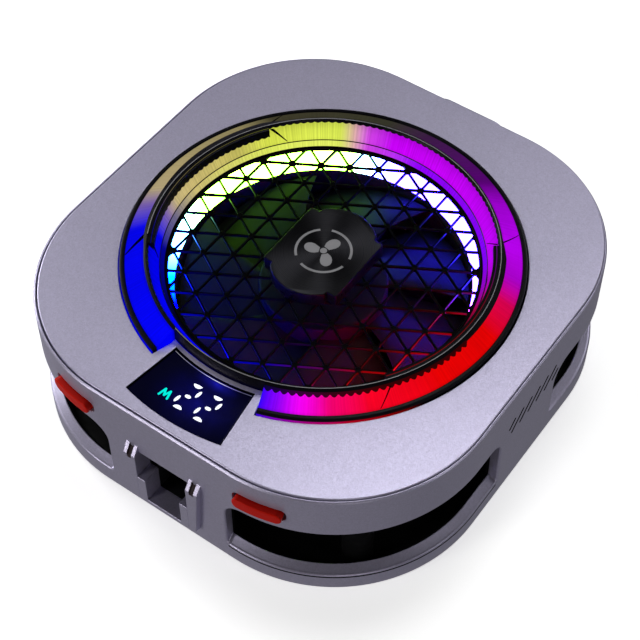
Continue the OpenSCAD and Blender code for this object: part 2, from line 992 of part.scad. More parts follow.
// Opening that wraps round one corner of the case
module corner_vent() {
    intersection() {
        translate([0, far, 0])
            rotate([90, 0, 0])
                linear_extrude(far)
                    vent_profile(vent_x);
        rotate([90, 0, 90])
            linear_extrude(far)
                vent_profile(vent_y);
    }
}

// Slanted strokes cut into the right face: the first has its upper half only, the last its lower half
module side_strokes() {
    stroke_z = vent_z1 + stroke_up;
    last = stroke_count - 1;
    for (i = [0:last]) {
        low = i == 0 ? 0 : -stroke_l / 2;
        high = i == last ? 0 : stroke_l / 2;
        translate([case_w / 2, stroke_y + (i - last / 2) * stroke_pitch, stroke_z])
            rotate([stroke_slant, 0, 0])
                translate([-stroke_d, low, -stroke_w / 2])
                    cube([2 * stroke_d, high - low, stroke_w]);
    }
}

// Side frame: the wall with its vents, button slots, clip socket, rails and inlet boss
module side_frame() {
    hole_w = usb_w + 2 * hole_gap;
    hole_h = usb_h + 2 * hole_gap;
    color("silver")
        difference() {
            union() {
                difference() {
                    slab(0, z_frame0, z_rim1);
                    slab(wall, z_frame0 - cut, z_rim1 + cut);
                    slab(rim_w, z_cover0, z_rim1 + cut);
                }
                translate([clip_w / 2, 0, 0])
                    clip_rail();
                mirror([1, 0, 0])
                    translate([clip_w / 2, 0, 0])
                        clip_rail();
                clip_block();
                inlet_boss();
            }
            for (x = [0, 1], y = [0, 1])
                mirror([x, 0, 0])
                    mirror([0, y, 0])
                        corner_vent();
            for (side = [-1, 1])
                button_slot(side);
            clip_space(-far, -case_l / 2 + wall + cut);
            translate([0, 0, usb_z])
                round_bar(hole_w, hole_h, case_l / 2 - wall - cut, far);
            side_strokes();
        }
}

// Ring frame: a tray for the lights, with the dark bezel as its outer wall
module ring_frame() {
    color("black")
        difference() {
            union() {
                sweep([
                    [ring_in, z_tray0], [ring_r, z_tray0], [ring_r, z_bezel1],
                    [bezel_in, z_bezel1], [bezel_in, z_led0], [ring_in, z_led0]
                ], ring_a0, ring_a1);
                sweep([
                    [ring_r - bezel_w / 2, z_cover0 - flange_t], [ring_r + flange_w, z_cover0 - flange_t],
                    [ring_r + flange_w, z_cover0], [ring_r - bezel_w / 2, z_cover0]
                ], ring_a0, ring_a1);
                at_ring_screws()
                    disc(ear_r, z_cover0 - flange_t, z_cover0);
            }
            at_ring_screws()
                disc(ring_screw_r + fit_gap, z_cover0 - flange_t - cut, z_cover0 + cut);
            disc(bezel_in, z_led0, z_cover0 + cut);
        }
}

// Screws that hold the ring frame under the top cover
module ring_screws() {
    len = flange_t + cover_t - ring_screw_skin - fit_gap;
    color("silver")
        at_ring_screws()
            translate([0, 0, z_cover0 - flange_t])
                screw_up(ring_head_r, ring_head_h, ring_screw_r, len);
}

// Circuit board under the ring
module led_board() {
    r0 = ring_in + 3 * fit_gap;
    r1 = bezel_in - fit_gap;
    color("white")
        sweep([
            [r0, z_led0], [r1, z_led0], [r1, z_led0 + led_board_t], [r0, z_led0 + led_board_t]
        ], ring_a0 + 1, ring_a1 - 1);
}

// Lights on the ring's circuit board
module leds() {
    r = (ring_in + bezel_in) / 2;
    end_a = 6;
    step = (ring_a1 - ring_a0 - 2 * end_a) / (led_count - 1);
    color("white")
        for (i = [0:led_count - 1])
            rotate([0, 0, ring_a0 + end_a + i * step])
                translate([r - led_w / 2, -led_w / 2, z_led0 + led_board_t])
                    cube([led_w, led_w, led_h]);
}

// Outer slope of the lit ring, which stops at the display
module outer_diffuser() {
    color("magenta")
        sweep([
            [outer_in, z_ring0], [outer_out, z_ring0], [outer_out, z_bezel1 - outer_edge_drop],
            [outer_in, z_ridge - outer_top_drop]
        ], ring_a0, ring_a1);
}

// Dark spine along the ring's ridge
module ring_spine() {
    color("black")
        tube(spine_out, spine_in, z_ring0, z_ridge);
}

// Inner slope of the lit ring: sharp in front and behind, cut down under the two flat caps
module inner_diffuser() {
    sharp = [
        [ring_in, z_ring0], [inner_out, z_ring0], [inner_out, z_ridge - inner_top_drop], [ring_in, z_glow1]
    ];
    flat = [
        [ring_in, z_ring0], [inner_out, z_ring0], [inner_out, z_cap0],
        [inner_out - cap_w, z_cap0], [ring_in, z_glow1]
    ];
    color("orchid") {
        sweep(flat, -flat_a, flat_a);
        sweep(sharp, flat_a, 180 - flat_a);
        sweep(flat, 180 - flat_a, 180 + flat_a);
        sweep(sharp, 180 + flat_a, 360 - flat_a);
    }
}

// Flat dark cap on the ridge, on the left or the right
module ring_cap(middle) {
    r0 = inner_out - cap_w;
    color("black")
        sweep([
            [r0, z_ridge - cap_t], [inner_out, z_ridge - cap_t], [inner_out, z_ridge], [r0, z_ridge]
        ], middle - flat_a + cap_end_a, middle + flat_a - cap_end_a);
}

module left_ring_cap() {
    ring_cap(180);
}

module right_ring_cap() {
    ring_cap(0);
}

// Glowing wall between the fan duct and the grille's rim
module duct_diffuser() {
    foot_r = duct_r + seam;
    z_foot1 = z_duct1 + glow_foot;
    color("white")
        rotate_extrude()
            polygon([
                [foot_r, z_duct1], [duct_out, z_duct1], [duct_out, z_glow1],
                [glow_in, z_glow1 - glow_slope], [glow_in, z_foot1], [foot_r, z_foot1]
            ]);
}

// Grille: a rim and a triangular lattice, with a plain middle under the badge
module grille() {
    rim_in = grille_r - grille_rim;
    open_r = grille_pitch / sqrt(3) - bar_w;
    column = grille_pitch * sqrt(3) / 2;
    reach = ceil(grille_r / column);
    color("black")
        difference() {
            union() {
                disc(grille_r, z_grille0, z_grille1);
                tube(grille_r, rim_in, z_grille0, z_grille1 + grille_lip);
            }
            intersection() {
                tube(rim_in, middle_r, z_grille0 - cut, z_grille1 + cut);
                for (i = [-reach - 1:reach], j = [-2 * reach:2 * reach]) {
                    x = i * column;
                    y = (j + i / 2) * grille_pitch;
                    lattice_hole(x + grille_pitch / (2 * sqrt(3)), y + grille_pitch / 2, 0, open_r);
                    lattice_hole(x + grille_pitch / sqrt(3), y, 180, open_r);
                }
            }
        }
}

// One triangular opening of the lattice, left out where the rim or the middle hides it
module lattice_hole(x, y, turn, r) {
    away = norm([x, y]);
    if (away < grille_r + r && away > middle_r - r)
        translate([x, y, z_grille0 - cut])
            rotate([0, 0, turn])
                cylinder(r = r, h = bar_t + 2 * cut, $fn = 3);
}

// Badge over the middle of the grille: straight sides and round ends
module hub_badge() {
    end_w = badge_w - 2 * badge_corner;
    color("black")
        translate([0, 0, z_grille1])
            linear_extrude(case_h + badge_up - z_grille1) {
                square([badge_w, badge_side], center = true);
                intersection() {
                    square([end_w, badge_l], center = true);
                    for (y = [-1, 1])
                        translate([0, y * (badge_l / 2 - badge_end_r)])
                            circle(badge_end_r);
                }
            }
}

// Outline of the display window, grown by a margin
module window_outline(margin) {
    intersection() {
        difference() {
            circle(window_r1 + margin);
            circle(window_r0 - margin);
        }
        polygon([
            [-window_w0 / 2 - margin, -window_r0 + window_over],
            [window_w0 / 2 + margin, -window_r0 + window_over],
            [window_w1 / 2 + margin, -window_r1 - window_over],
            [-window_w1 / 2 - margin, -window_r1 - window_over]
        ]);
    }
}

// Display: a light block on the control board
module display_module() {
    side = window_ledge + 2 * fit_gap;
    w = window_w0 - 2 * side;
    y0 = -window_r1 + side + display_in;
    y1 = -window_r0 - side - display_back;
    color("midnightblue")
        translate([-w / 2, y0, z_board1])
            cube([w, y1 - y0, z_window0 - seam - z_board1]);
}

// Dark window over the display
module display_window() {
    color("black")
        translate([0, 0, z_window0])
            linear_extrude(window_t)
                window_outline(0);
}

// Top cover: a plate inside the rim, open for the ring, with a tongue that carries the window
module top_cover() {
    tongue_a = gap_a - tongue_gap_a;
    color("gainsboro")
        difference() {
            slab(rim_w + fit_gap, z_cover0, case_h);
            disc(spine_out + fit_gap, z_cover0 - cut, case_h + cut);
            sweep([
                [spine_out, z_cover0 - cut], [ring_r + fit_gap, z_cover0 - cut],
                [ring_r + fit_gap, case_h + cut], [spine_out, case_h + cut]
            ], front_a + tongue_a, front_a + 360 - tongue_a);
            translate([0, 0, z_window0])
                linear_extrude(window_t + cut)
                    window_outline(fit_gap);
            translate([0, 0, z_cover0 - cut])
                linear_extrude(cover_t + cut)
                    window_outline(-window_ledge);
            at_ring_screws()
                disc(ring_screw_r + seam, z_cover0 - cut, case_h - ring_screw_skin);
        }
}

contact_pad();
base_ring();
base_cover();
magnets();
magnet_shield();
cold_plate();
peltier_module();
insulation_frame();
peltier_leads();
heat_sink();
sink_screws();
chassis();
case_screws();
motor_board();
bearing_sleeve();
stator_core();
stator_coils();
motor_shaft();
rotor_yoke();
rotor_magnet();
fan_rotor();
control_board();
left_switch();
right_switch();
left_button();
right_button();
usb_shell();
usb_tongue();
clip_pocket();
side_frame();
ring_frame();
ring_screws();
led_board();
leds();
outer_diffuser();
ring_spine();
inner_diffuser();
left_ring_cap();
right_ring_cap();
duct_diffuser();
grille();
hub_badge();
display_module();
display_window();
top_cover();
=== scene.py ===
import json
import math

import bmesh
import bpy
import numpy as np
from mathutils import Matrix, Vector, geometry


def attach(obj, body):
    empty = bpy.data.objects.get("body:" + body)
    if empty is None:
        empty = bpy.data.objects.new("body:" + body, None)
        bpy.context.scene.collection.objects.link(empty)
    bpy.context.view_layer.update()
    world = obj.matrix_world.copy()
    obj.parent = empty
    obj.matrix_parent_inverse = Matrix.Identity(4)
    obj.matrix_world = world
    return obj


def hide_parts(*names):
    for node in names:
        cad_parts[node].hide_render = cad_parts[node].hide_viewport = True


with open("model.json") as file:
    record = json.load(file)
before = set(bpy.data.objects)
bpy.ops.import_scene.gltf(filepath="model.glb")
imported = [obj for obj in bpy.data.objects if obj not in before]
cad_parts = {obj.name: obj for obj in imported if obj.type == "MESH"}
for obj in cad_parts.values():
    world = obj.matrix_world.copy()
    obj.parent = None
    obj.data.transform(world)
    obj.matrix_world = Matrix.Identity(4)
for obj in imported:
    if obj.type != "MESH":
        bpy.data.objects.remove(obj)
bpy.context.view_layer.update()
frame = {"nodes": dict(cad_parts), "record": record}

# Lengths are in millimetres, as in the part's source, and become metres when a mesh is made.
MM = 0.001

# Case outline: half width, half length, corner radius; heights of the wall, rim and cover
HALF_W, HALF_L, CORNER = 38.0, 40.15, 25.7
Z_FOOT, Z_RIM, Z_TOP, Z_COVER = 0.3, 23.78, 24.0, 22.2
WALL, RIM, SLIP = 2.2, 0.38, 0.16
SILL, SILL_RISE = 1.6, 0.66

# Ring: radii from the glowing wall out to the bezel, and heights
DUCT, GLOW_IN, GLOW_OUT, GRILLE_R = 23.3, 24.5, 25.3, 24.4
RING_IN, INNER_OUT, SPINE_IN, SPINE_OUT = 25.4, 26.9, 26.95, 27.3
OUTER_IN, OUTER_OUT, BEZEL_IN, RING_R = 27.35, 30.5, 30.55, 31.35
Z_DUCT, Z_RING, Z_GLOW, Z_BEZEL, Z_RIDGE = 18.3, 22.0, 23.5, 24.7, 26.5
Z_SLOPE0, Z_SLOPE1, Z_INNER, Z_BADGE = 26.35, 24.6, 26.2, 24.9
Z_NET0, Z_NET1 = 22.1, 22.55
RING_A0, RING_A1 = -72.3, 252.3
TEETH = 147
FLAT_A = 35.0

# Window, buttons and inlet
WINDOW_R0, WINDOW_R1, WINDOW_W0, WINDOW_W1 = 28.1, 37.9, 14.6, 17.4
Z_PANE = 23.7
BUTTON_Z, BUTTON_A, BUTTON_L, BUTTON_H, BUTTON_OUT = 18.7, 10.5, 7.6, 2.1, 0.9
INLET_Z, INLET_L, INLET_H = 14.97, 9.34, 3.66

# Colours round the ring: angle from +X in degrees, then linear red, green and blue
NEAR_COLOURS = [
    (-153, 0, 0, 0.85), (-110, 0, 0, 1), (-73, 0, 0, 1), (-67, 0.3, 0, 1), (-61, 1, 0, 1),
    (-53, 0.95, 0, 0.18), (-42, 1, 0, 0.02), (-20, 0.85, 0, 0), (2, 0.8, 0, 0),
    (14, 0.7, 0, 0.08), (24, 0.42, 0, 0.62),
]
RING_COLOURS = [
    (-180, 0.62, 0.5, 0.18), (-170, 0.6, 0.48, 0.22), (-163, 0.22, 0.14, 0.42), *NEAR_COLOURS,
    (34, 0.55, 0, 1), (100, 0.62, 0, 1), (109, 0.7, 0.06, 0.85), (114, 0.8, 0.45, 0.45),
    (119, 0.78, 0.92, 0.1), (146, 0.72, 0.8, 0.08), (158, 0.58, 0.52, 0.12), (180, 0.62, 0.5, 0.18),
]
# Outer slope: like the ring, but dim at the back from 54 to 152 degrees and dimmer at the left: painted shade
# on a slope that is lit all round.
OUTER_COLOURS = [
    (-180, 0.42, 0.34, 0.16), (-170, 0.46, 0.37, 0.2), (-163, 0.18, 0.11, 0.4), *NEAR_COLOURS,
    (36, 0.5, 0, 0.9), (54, 0.34, 0, 0.62), (64, 0.09, 0, 0.16), (90, 0.045, 0.01, 0.06),
    (104, 0.035, 0.035, 0.02), (142, 0.05, 0.045, 0.022), (152, 0.26, 0.22, 0.1), (180, 0.42, 0.34, 0.16),
]
# Top of the glowing wall: like the ring, but nearly unlit from -118 to 0 degrees on the near side: painted
# shade.
LOW_COLOURS = [
    (-180, 0.62, 0.52, 0.18), (-165, 0.16, 0.14, 0.25), (-150, 0, 0, 0.3), (-118, 0, 0, 0.01),
    (0, 0.01, 0, 0), (12, 0.35, 0, 0.05), (24, 0.3, 0, 0.62), (34, 0.22, 0, 0.95), (88, 0.3, 0, 1),
    (109, 0.7, 0.06, 0.85), (114, 0.8, 0.45, 0.45), (119, 0.8, 0.92, 0.14), (146, 0.76, 0.86, 0.12),
    (160, 0.7, 0.7, 0.15), (180, 0.62, 0.52, 0.18),
]
GLOW_COLOURS = [
    (-180, 0.18, 0.58, 0.03), (-166, 0.08, 0.3, 0.4), (-155, 0.02, 0.16, 1.6), (-146, 0, 0.03, 2),
    (-132, 0, 0, 2), (-76, 0, 0, 1.8), (-62, 0.5, 0, 0.8), (-45, 1.5, 0, 0), (4, 1.6, 0, 0.02),
    (14, 0.5, 0.03, 1), (24, 0.05, 0.03, 2), (98, 0.05, 0.03, 2), (107, 0.1, 0.16, 0.6),
    (114, 0.18, 0.58, 0.03), (180, 0.18, 0.58, 0.03),
]
LINE_COLOURS = [
    (-165, 0, 0, 0), (-140, 0, 0, 0.5), (-108, 0, 0, 1), (-72, 0.05, 0, 0.9), (-66, 0.35, 0, 0.6),
    (-58, 0.55, 0, 0.25), (-48, 0.6, 0, 0.02), (-38, 0.35, 0, 0), (-28, 0, 0, 0),
]
# Strip along the window's inner edge: its blue-white middle near -87 degrees is light leaking from the ring,
# and its grey ends are a painted reflection on the bevel.
LEAK_AND_GLINT_COLOURS = [
    (-110, 0.1, 0.1, 0.12), (-101, 0.28, 0.28, 0.32), (-95, 0.12, 0.12, 0.4), (-91, 0.55, 0.55, 1),
    (-87, 0.9, 0.9, 1), (-83, 0.35, 0.3, 0.9), (-79, 0.1, 0.1, 0.2), (-70, 0.16, 0.16, 0.18),
]


# ---- Materials -----------------------------------------------------------------------------------

class Nodes:
    """Short calls to add nodes to a tree."""

    def __init__(self, tree):
        self.tree = tree

    def add(self, kind, **props):
        n = self.tree.nodes.new(kind)
        for key, value in props.items():
            setattr(n, key, value)
        return n

    def put(self, socket, value):
        if isinstance(value, bpy.types.NodeSocket):
            self.tree.links.new(value, socket)
        else:
            socket.default_value = (*value, 1.0) if socket.type == "RGBA" else value

    def node(self, kind, inputs=None, out=0, **props):
        n = self.add(kind, **props)
        for key, value in (inputs or {}).items():
            self.put(n.inputs[key], value)
        return n.outputs[out]

    def math(self, op, a, b=0.0, c=0.0):
        return self.node("ShaderNodeMath", {0: a, 1: b, 2: c}, operation=op)

    def vector(self, op, a, b=(0.0, 0.0, 0.0), out=0):
        return self.node("ShaderNodeVectorMath", {0: a, 1: b}, out, operation=op)

    def ramp(self, fac, stops):
        ramp = self.add("ShaderNodeValToRGB")
        self.put(ramp.inputs[0], fac)
        points = ramp.color_ramp.elements
        while len(points) < len(stops):
            points.new(0.5)
        for point, (place, colour) in zip(points, stops):
            point.position = place
            point.color = (*colour, 1.0)
        return ramp.outputs[0]


class Mat(Nodes):
    """A material with one Principled shader."""

    def __init__(self, name):
        self.mat = bpy.data.materials.new(name)
        self.mat.use_nodes = True
        super().__init__(self.mat.node_tree)
        self.tree.nodes.clear()
        out = self.add("ShaderNodeOutputMaterial")
        self.bsdf = self.add("ShaderNodeBsdfPrincipled")
        self.put(out.inputs["Surface"], self.bsdf.outputs[0])
        self.coords = self.add("ShaderNodeTexCoord").outputs["Object"]

    def set(self, **values):
        for key, value in values.items():
            self.put(self.bsdf.inputs[key.replace("_", " ")], value)

    def noise(self, scale, detail=2.0, rough=0.5):
        return self.node("ShaderNodeTexNoise", {
            "Vector": self.coords, "Scale": scale, "Detail": detail, "Roughness": rough})

    def line_noise(self, along, scale, detail):
        return self.node("ShaderNodeTexNoise", {"W": self.math("MULTIPLY", along, scale), "Scale": 1.0,
                                                "Detail": detail}, noise_dimensions="1D")

    def spread(self, fac, low, high):
        return self.node("ShaderNodeMapRange", {0: fac, 1: 0.3, 2: 0.7, 3: low, 4: high})

    def tint(self, fac, dark, light):
        return self.node("ShaderNodeMix", {"Factor": fac, "A": dark, "B": light}, "Result", data_type="RGBA")

    def times(self, colour, fac):
        return self.node("ShaderNodeMix", {"Factor": 1.0, "A": colour, "B": fac}, "Result",
                         data_type="RGBA", blend_type="MULTIPLY")

    def bump(self, height, strength, distance):
        self.set(Normal=self.node("ShaderNodeBump", {
            "Strength": strength, "Distance": distance * MM, "Height": height}))

    def turn(self):
        """Angle round the axis, 0 at -180 degrees and 1 at 180 degrees."""
        return self.node("ShaderNodeTexGradient", {"Vector": self.coords}, 1, gradient_type="RADIAL")

    def radius(self):
        return self.vector("LENGTH", self.vector("MULTIPLY", self.coords, (1.0, 1.0, 0.0)), out=1)

    def by_radius(self, stops):
        low, high = stops[0][0] * MM, stops[-1][0] * MM
        fac = self.node("ShaderNodeMapRange", {0: self.radius(), 1: low, 2: high, 3: 0.0, 4: 1.0})
        return self.ramp(fac, [((r * MM - low) / (high - low), (v, v, v)) for r, v in stops])

    def by_angle(self, stops):
        return self.ramp(self.turn(), [((angle + 180) / 360, colour) for angle, *colour in stops])


def plastic(name, dark, light, rough=0.45, grain=900.0, bump=0.02, coat=0.0, metal=0.0, gleam=0.5):
    """Moulded plastic, rubber or metal: slow colour drift, uneven gloss and a fine grain."""
    m = Mat(name)
    slow = m.noise(60.0, 3.0)
    fine = m.noise(grain, 3.0, 0.6)
    m.set(Base_Color=m.tint(slow, dark, light), Metallic=metal,
          Roughness=m.spread(fine, rough * 0.85, min(1.0, rough * 1.2)))
    if coat:
        m.set(Coat_Weight=coat, Coat_Roughness=0.06)
    if not metal:
        m.set(Specular_IOR_Level=gleam)
    m.bump(fine, 0.25, bump)
    return m.mat


def paint():
    """Silver paint with a violet cast: fine flakes that tilt and differ in brightness."""
    m = Mat("silver_paint")
    flake = m.node("ShaderNodeTexVoronoi", {"Vector": m.coords, "Scale": 6500.0}, "Color", feature="F1")
    value = m.node("ShaderNodeSeparateColor", {0: flake})
    grain = m.noise(2600.0, 2.0, 0.6)
    drift = m.noise(45.0, 3.0)
    level = m.math("ADD", m.math("MULTIPLY", value, 0.3), m.math("MULTIPLY", grain, 0.5))
    level = m.math("ADD", level, m.math("MULTIPLY", drift, 0.2))
    m.set(Base_Color=m.tint(level, (0.40, 0.378, 0.515), (0.62, 0.588, 0.78)), Metallic=0.62,
          Roughness=m.spread(grain, 0.36, 0.41))
    tilt = m.vector("SUBTRACT", flake, (0.5, 0.5, 0.5))
    tilt = m.node("ShaderNodeVectorMath", {0: tilt, "Scale": 0.05}, operation="SCALE")
    normal = m.add("ShaderNodeNewGeometry").outputs["Normal"]
    m.set(Normal=m.vector("NORMALIZE", m.vector("ADD", normal, tilt)))
    return m.mat


def lit(name, stops, strength, streaks=0.0, fade=None):
    """Lit plastic: its colour runs round the ring, with streaks of the light guide. Fade gives pairs of
    radius and brightness."""
    m = Mat(name)
    level = m.spread(m.noise(240.0, 2.0), 0.92, 1.04)
    if streaks:
        level = m.math("MULTIPLY", level, m.spread(m.line_noise(m.turn(), 520.0, 2.0), 1.0 - streaks, 1.0))
    if fade:
        level = m.math("MULTIPLY", level, m.by_radius(fade))
    m.set(Base_Color=(0.002, 0.002, 0.003), Roughness=0.3, Specular_IOR_Level=0.0,
          Emission_Color=m.times(m.by_angle(stops), level), Emission_Strength=strength)
    return m.mat


def spun():
    """Dark metal turned on a lathe: concentric lines that catch the light in wedges."""
    m = Mat("spun_black")
    radius = m.radius()
    lines = m.math("SINE", m.math("MULTIPLY", radius, 2 * math.pi / (0.24 * MM)))
    level = m.math("MULTIPLY_ADD", lines, 0.2, m.line_noise(radius, 9000.0, 3.0))
    m.set(Base_Color=m.tint(level, (0.004, 0.004, 0.006), (0.026, 0.026, 0.03)), Metallic=0.9,
          Roughness=m.spread(level, 0.28, 0.4), Anisotropic=0.9,
          Tangent=m.node("ShaderNodeTangent", direction_type="RADIAL", axis="Z"))
    m.bump(level, 0.3, 0.02)
    return m.mat


def display_glass():
    """Black window with a blue glow round the lit figures."""
    m = Mat("window")
    cloud = m.spread(m.noise(420.0, 2.0), 0.6, 1.2)

    def spot(x, y, wide, high):
        shift = m.node("ShaderNodeMapping", {"Vector": m.coords, "Location": (-x, -y, -0.0238)},
                       vector_type="POINT")
        near = m.vector("MULTIPLY", shift, (1 / wide, 1 / high, 0.0))
        return m.node("ShaderNodeTexGradient", {"Vector": near}, 1, gradient_type="QUADRATIC_SPHERE")

    glow = m.math("MULTIPLY", spot(0.0014, -0.0329, 0.0092, 0.0068), 0.13)
    glow = m.math("ADD", glow, m.math("MULTIPLY", spot(0.0016, -0.0288, 0.0045, 0.0016), 0.4))
    glow = m.math("ADD", m.math("MULTIPLY", glow, cloud), 0.009)
    m.set(Base_Color=(0.002, 0.002, 0.004), Roughness=m.spread(m.noise(150.0, 3.0), 0.08, 0.16),
          Specular_IOR_Level=0.2, Emission_Color=m.tint(glow, (0.0, 0.0, 0.0), (0.02, 0.02, 1.0)),
          Emission_Strength=0.8)
    return m.mat


PAINT = paint()
GLOSS = plastic("gloss_black", (0.003, 0.003, 0.004), (0.006, 0.0055, 0.008), 0.3, 700.0, 0.01, gleam=0.06)
SMOKE = plastic("smoked_plastic", (0.008, 0.0075, 0.008), (0.013, 0.012, 0.013), 0.3, 500.0, 0.01, gleam=0.12)
# Pale strip laid on the ridge top: painted highlight.
RIDGE_HIGHLIGHT = plastic("painted_ridge_highlight", (0.20, 0.20, 0.22), (0.28, 0.28, 0.30), 0.3, 900.0, 0.01)
SPUN = spun()
WINDOW = display_glass()
RED = plastic("red_button", (0.60, 0.008, 0.002), (0.68, 0.011, 0.003), 0.4, 1200.0, 0.02, gleam=0.1)
INNER = plastic("inner_plastic", (0.002, 0.002, 0.0025), (0.004, 0.004, 0.005), 0.65, gleam=0.1)
POCKET = plastic("socket_plastic", (0.004, 0.004, 0.006), (0.009, 0.009, 0.012), 0.6, 1800.0, 0.03,
                 gleam=0.15)
NET = plastic("net_black", (0.0008, 0.0008, 0.001), (0.0016, 0.0016, 0.002), 0.32, 700.0, 0.01, gleam=0.02)
BLADE = plastic("blade", (0.0028, 0.0028, 0.0028), (0.004, 0.004, 0.004), 0.45, 600.0, 0.01, gleam=0.04)
DUCT_SHELL = plastic("duct_plastic", (0.003, 0.003, 0.0035), (0.005, 0.005, 0.0055), 0.6, gleam=0.04)
# Darker copy of the silver paint for the rails' grooves: painted shade.
GROOVE_SHADE = plastic("rail_groove_shade", (0.030, 0.018, 0.022), (0.042, 0.026, 0.031), 0.6, gleam=0.2)
JOINT = plastic("joint_black", (0.0005, 0.0005, 0.0008), (0.001, 0.001, 0.0012), 0.7, gleam=0.0)
OUTER_FADE = [(27.3, 0.35), (27.6, 0.8), (27.9, 1.0), (30.2, 1.0), (30.55, 0.8)]
INNER_FADE = [(25.3, 0.9), (25.6, 1.0), (26.2, 0.95), (26.9, 0.7)]
# OUTER_COLOURS dim the back of this slope: painted shade.
LIT_OUT = lit("lit_outer", OUTER_COLOURS, 1.0, 0.12, OUTER_FADE)
LIT_IN = lit("lit_inner", RING_COLOURS, 1.05, 0.22, INNER_FADE)
# The ring's light dimmed to a twenty-fifth, for teeth beside the ridge: painted shade.
LIT_SHADE = lit("lit_painted_shade", RING_COLOURS, 0.04)
LIT_SOFT = lit("lit_soft", RING_COLOURS, 0.3)
LIT_LOW = lit("lit_low", LOW_COLOURS, 1.05, 0.22)
LIT_LINE = lit("lit_line", LINE_COLOURS, 0.7)
GLOW = lit("glow_wall", GLOW_COLOURS, 46.0)
WHITE = lit("figure_white", [(-180, 0.8, 0.84, 1), (180, 0.8, 0.84, 1)], 1.6)
CYAN = lit("figure_cyan", [(-180, 0, 0.85, 0.72), (180, 0, 0.85, 0.72)], 1.1)
# Glowing strip at the window's edge: light leak in the middle, painted reflection at the ends.
RIM_LEAK_AND_GLINT = lit("window_edge", LEAK_AND_GLINT_COLOURS, 1.0)
INK = plastic("pale_ink", (0.20, 0.20, 0.21), (0.30, 0.30, 0.32), 0.5, 3000.0, 0.01)


# ---- Mesh building -------------------------------------------------------------------------------

class Shell:
    """Vertices in a flat domain (u, v) with a depth behind its face, and the faces between them."""

    def __init__(self):
        self.v, self.f, self.m = [], [], []

    def ring(self, points, depth):
        start = len(self.v)
        self.v += [(p[0], p[1], depth) for p in points]
        return list(range(start, len(self.v)))

    def strip(self, a, b, closed=True, mat=0):
        n = len(a)
        for i in range(n if closed else n - 1):
            j = (i + 1) % n
            self.f.append((a[i], a[j], b[j], b[i]))
            self.m.append(mat)

    def strips(self, rings, closed=True, mat=0):
        for a, b in zip(rings, rings[1:]):
            self.strip(a, b, closed, mat)

    def skin(self, outer, holes=(), mat=0):
        """Triangles between an outer loop of vertices and the holes in it."""
        loops = [outer, *holes]
        ids = [i for loop in loops for i in loop]
        edges, base = [], 0
        for loop in loops:
            n = len(loop)
            edges += [(base + i, base + (i + 1) % n) for i in range(n)]
            base += n
        points = [Vector(self.v[i][:2]) for i in ids]
        found = geometry.delaunay_2d_cdt(points, edges, [], 0, 1e-7)
        back = [ids[o[0]] for o in found[3]]
        shapes = [np.array([self.v[i][:2] for i in loop]) for loop in loops]
        boxes = [(s.min(0), s.max(0)) for s in shapes]
        for tri in found[2]:
            c = sum((found[0][i] for i in tri), Vector((0, 0))) / 3
            if not inside(shapes[0], c):
                continue
            if any(lo[0] < c.x < hi[0] and lo[1] < c.y < hi[1] and inside(s, c)
                   for s, (lo, hi) in zip(shapes[1:], boxes[1:])):
                continue
            self.f.append(tuple(back[i] for i in tri))
            self.m.append(mat)

    def edge(self, loop, fillet, depth, sign, steps=4, mat=0):
        """Rings from the face round a filleted edge to a depth: sign 1 for a hole, -1 for an outline.
        Gives the first and the last ring."""
        normals = outward(loop)
        path = quarter(steps + 1, fillet, fillet) if fillet else [(0.0, 0.0)]
        rings = [self.ring([p + sign * off * n for p, n in zip(loop, normals)], d)
                 for off, d in [*path, (0.0, depth)]]
        self.strips(rings, mat=mat)
        return rings[0], rings[-1]

    def plate(self, loop, fillet, depth, steps=4):
        """A solid plate with one filleted edge. Gives the numbers of its vertices."""
        start = len(self.v)
        for ring in self.edge(loop, fillet, depth, -1, steps):
            self.skin(ring)
        return range(start, len(self.v))

    def sink(self, ids, depth):
        for i in ids:
            u, v, d = self.v[i]
            self.v[i] = (u, v, d + depth)


def quarter(n, wide, deep):
    """Points round a fillet from the face to the side: distance from the side, and depth."""
    return [(wide * (1 - math.sin(t)), deep * (1 - math.cos(t))) for t in np.linspace(0, math.pi / 2, n)]


def inside(shape, c):
    """Whether a point lies inside a loop."""
    x, y = shape[:, 0], shape[:, 1]
    x2, y2 = np.roll(x, -1), np.roll(y, -1)
    cross = (y > c[1]) != (y2 > c[1])
    at = x + (c[1] - y) * (x2 - x) / np.where(y2 == y, 1.0, y2 - y)
    return bool(np.count_nonzero(cross & (c[0] < at)) % 2)


def outward(loop):
    """Unit normals of an anticlockwise loop, away from what it encloses, lengthened at corners."""
    p = np.array(loop, float)
    e = np.roll(p, -1, 0) - p
    e /= np.linalg.norm(e, axis=1)[:, None]
    n = np.stack([e[:, 1], -e[:, 0]], 1)
    b = n + np.roll(n, 1, 0)
    b /= np.linalg.norm(b, axis=1)[:, None]
    return b / np.maximum(0.4, (b * n).sum(1))[:, None]


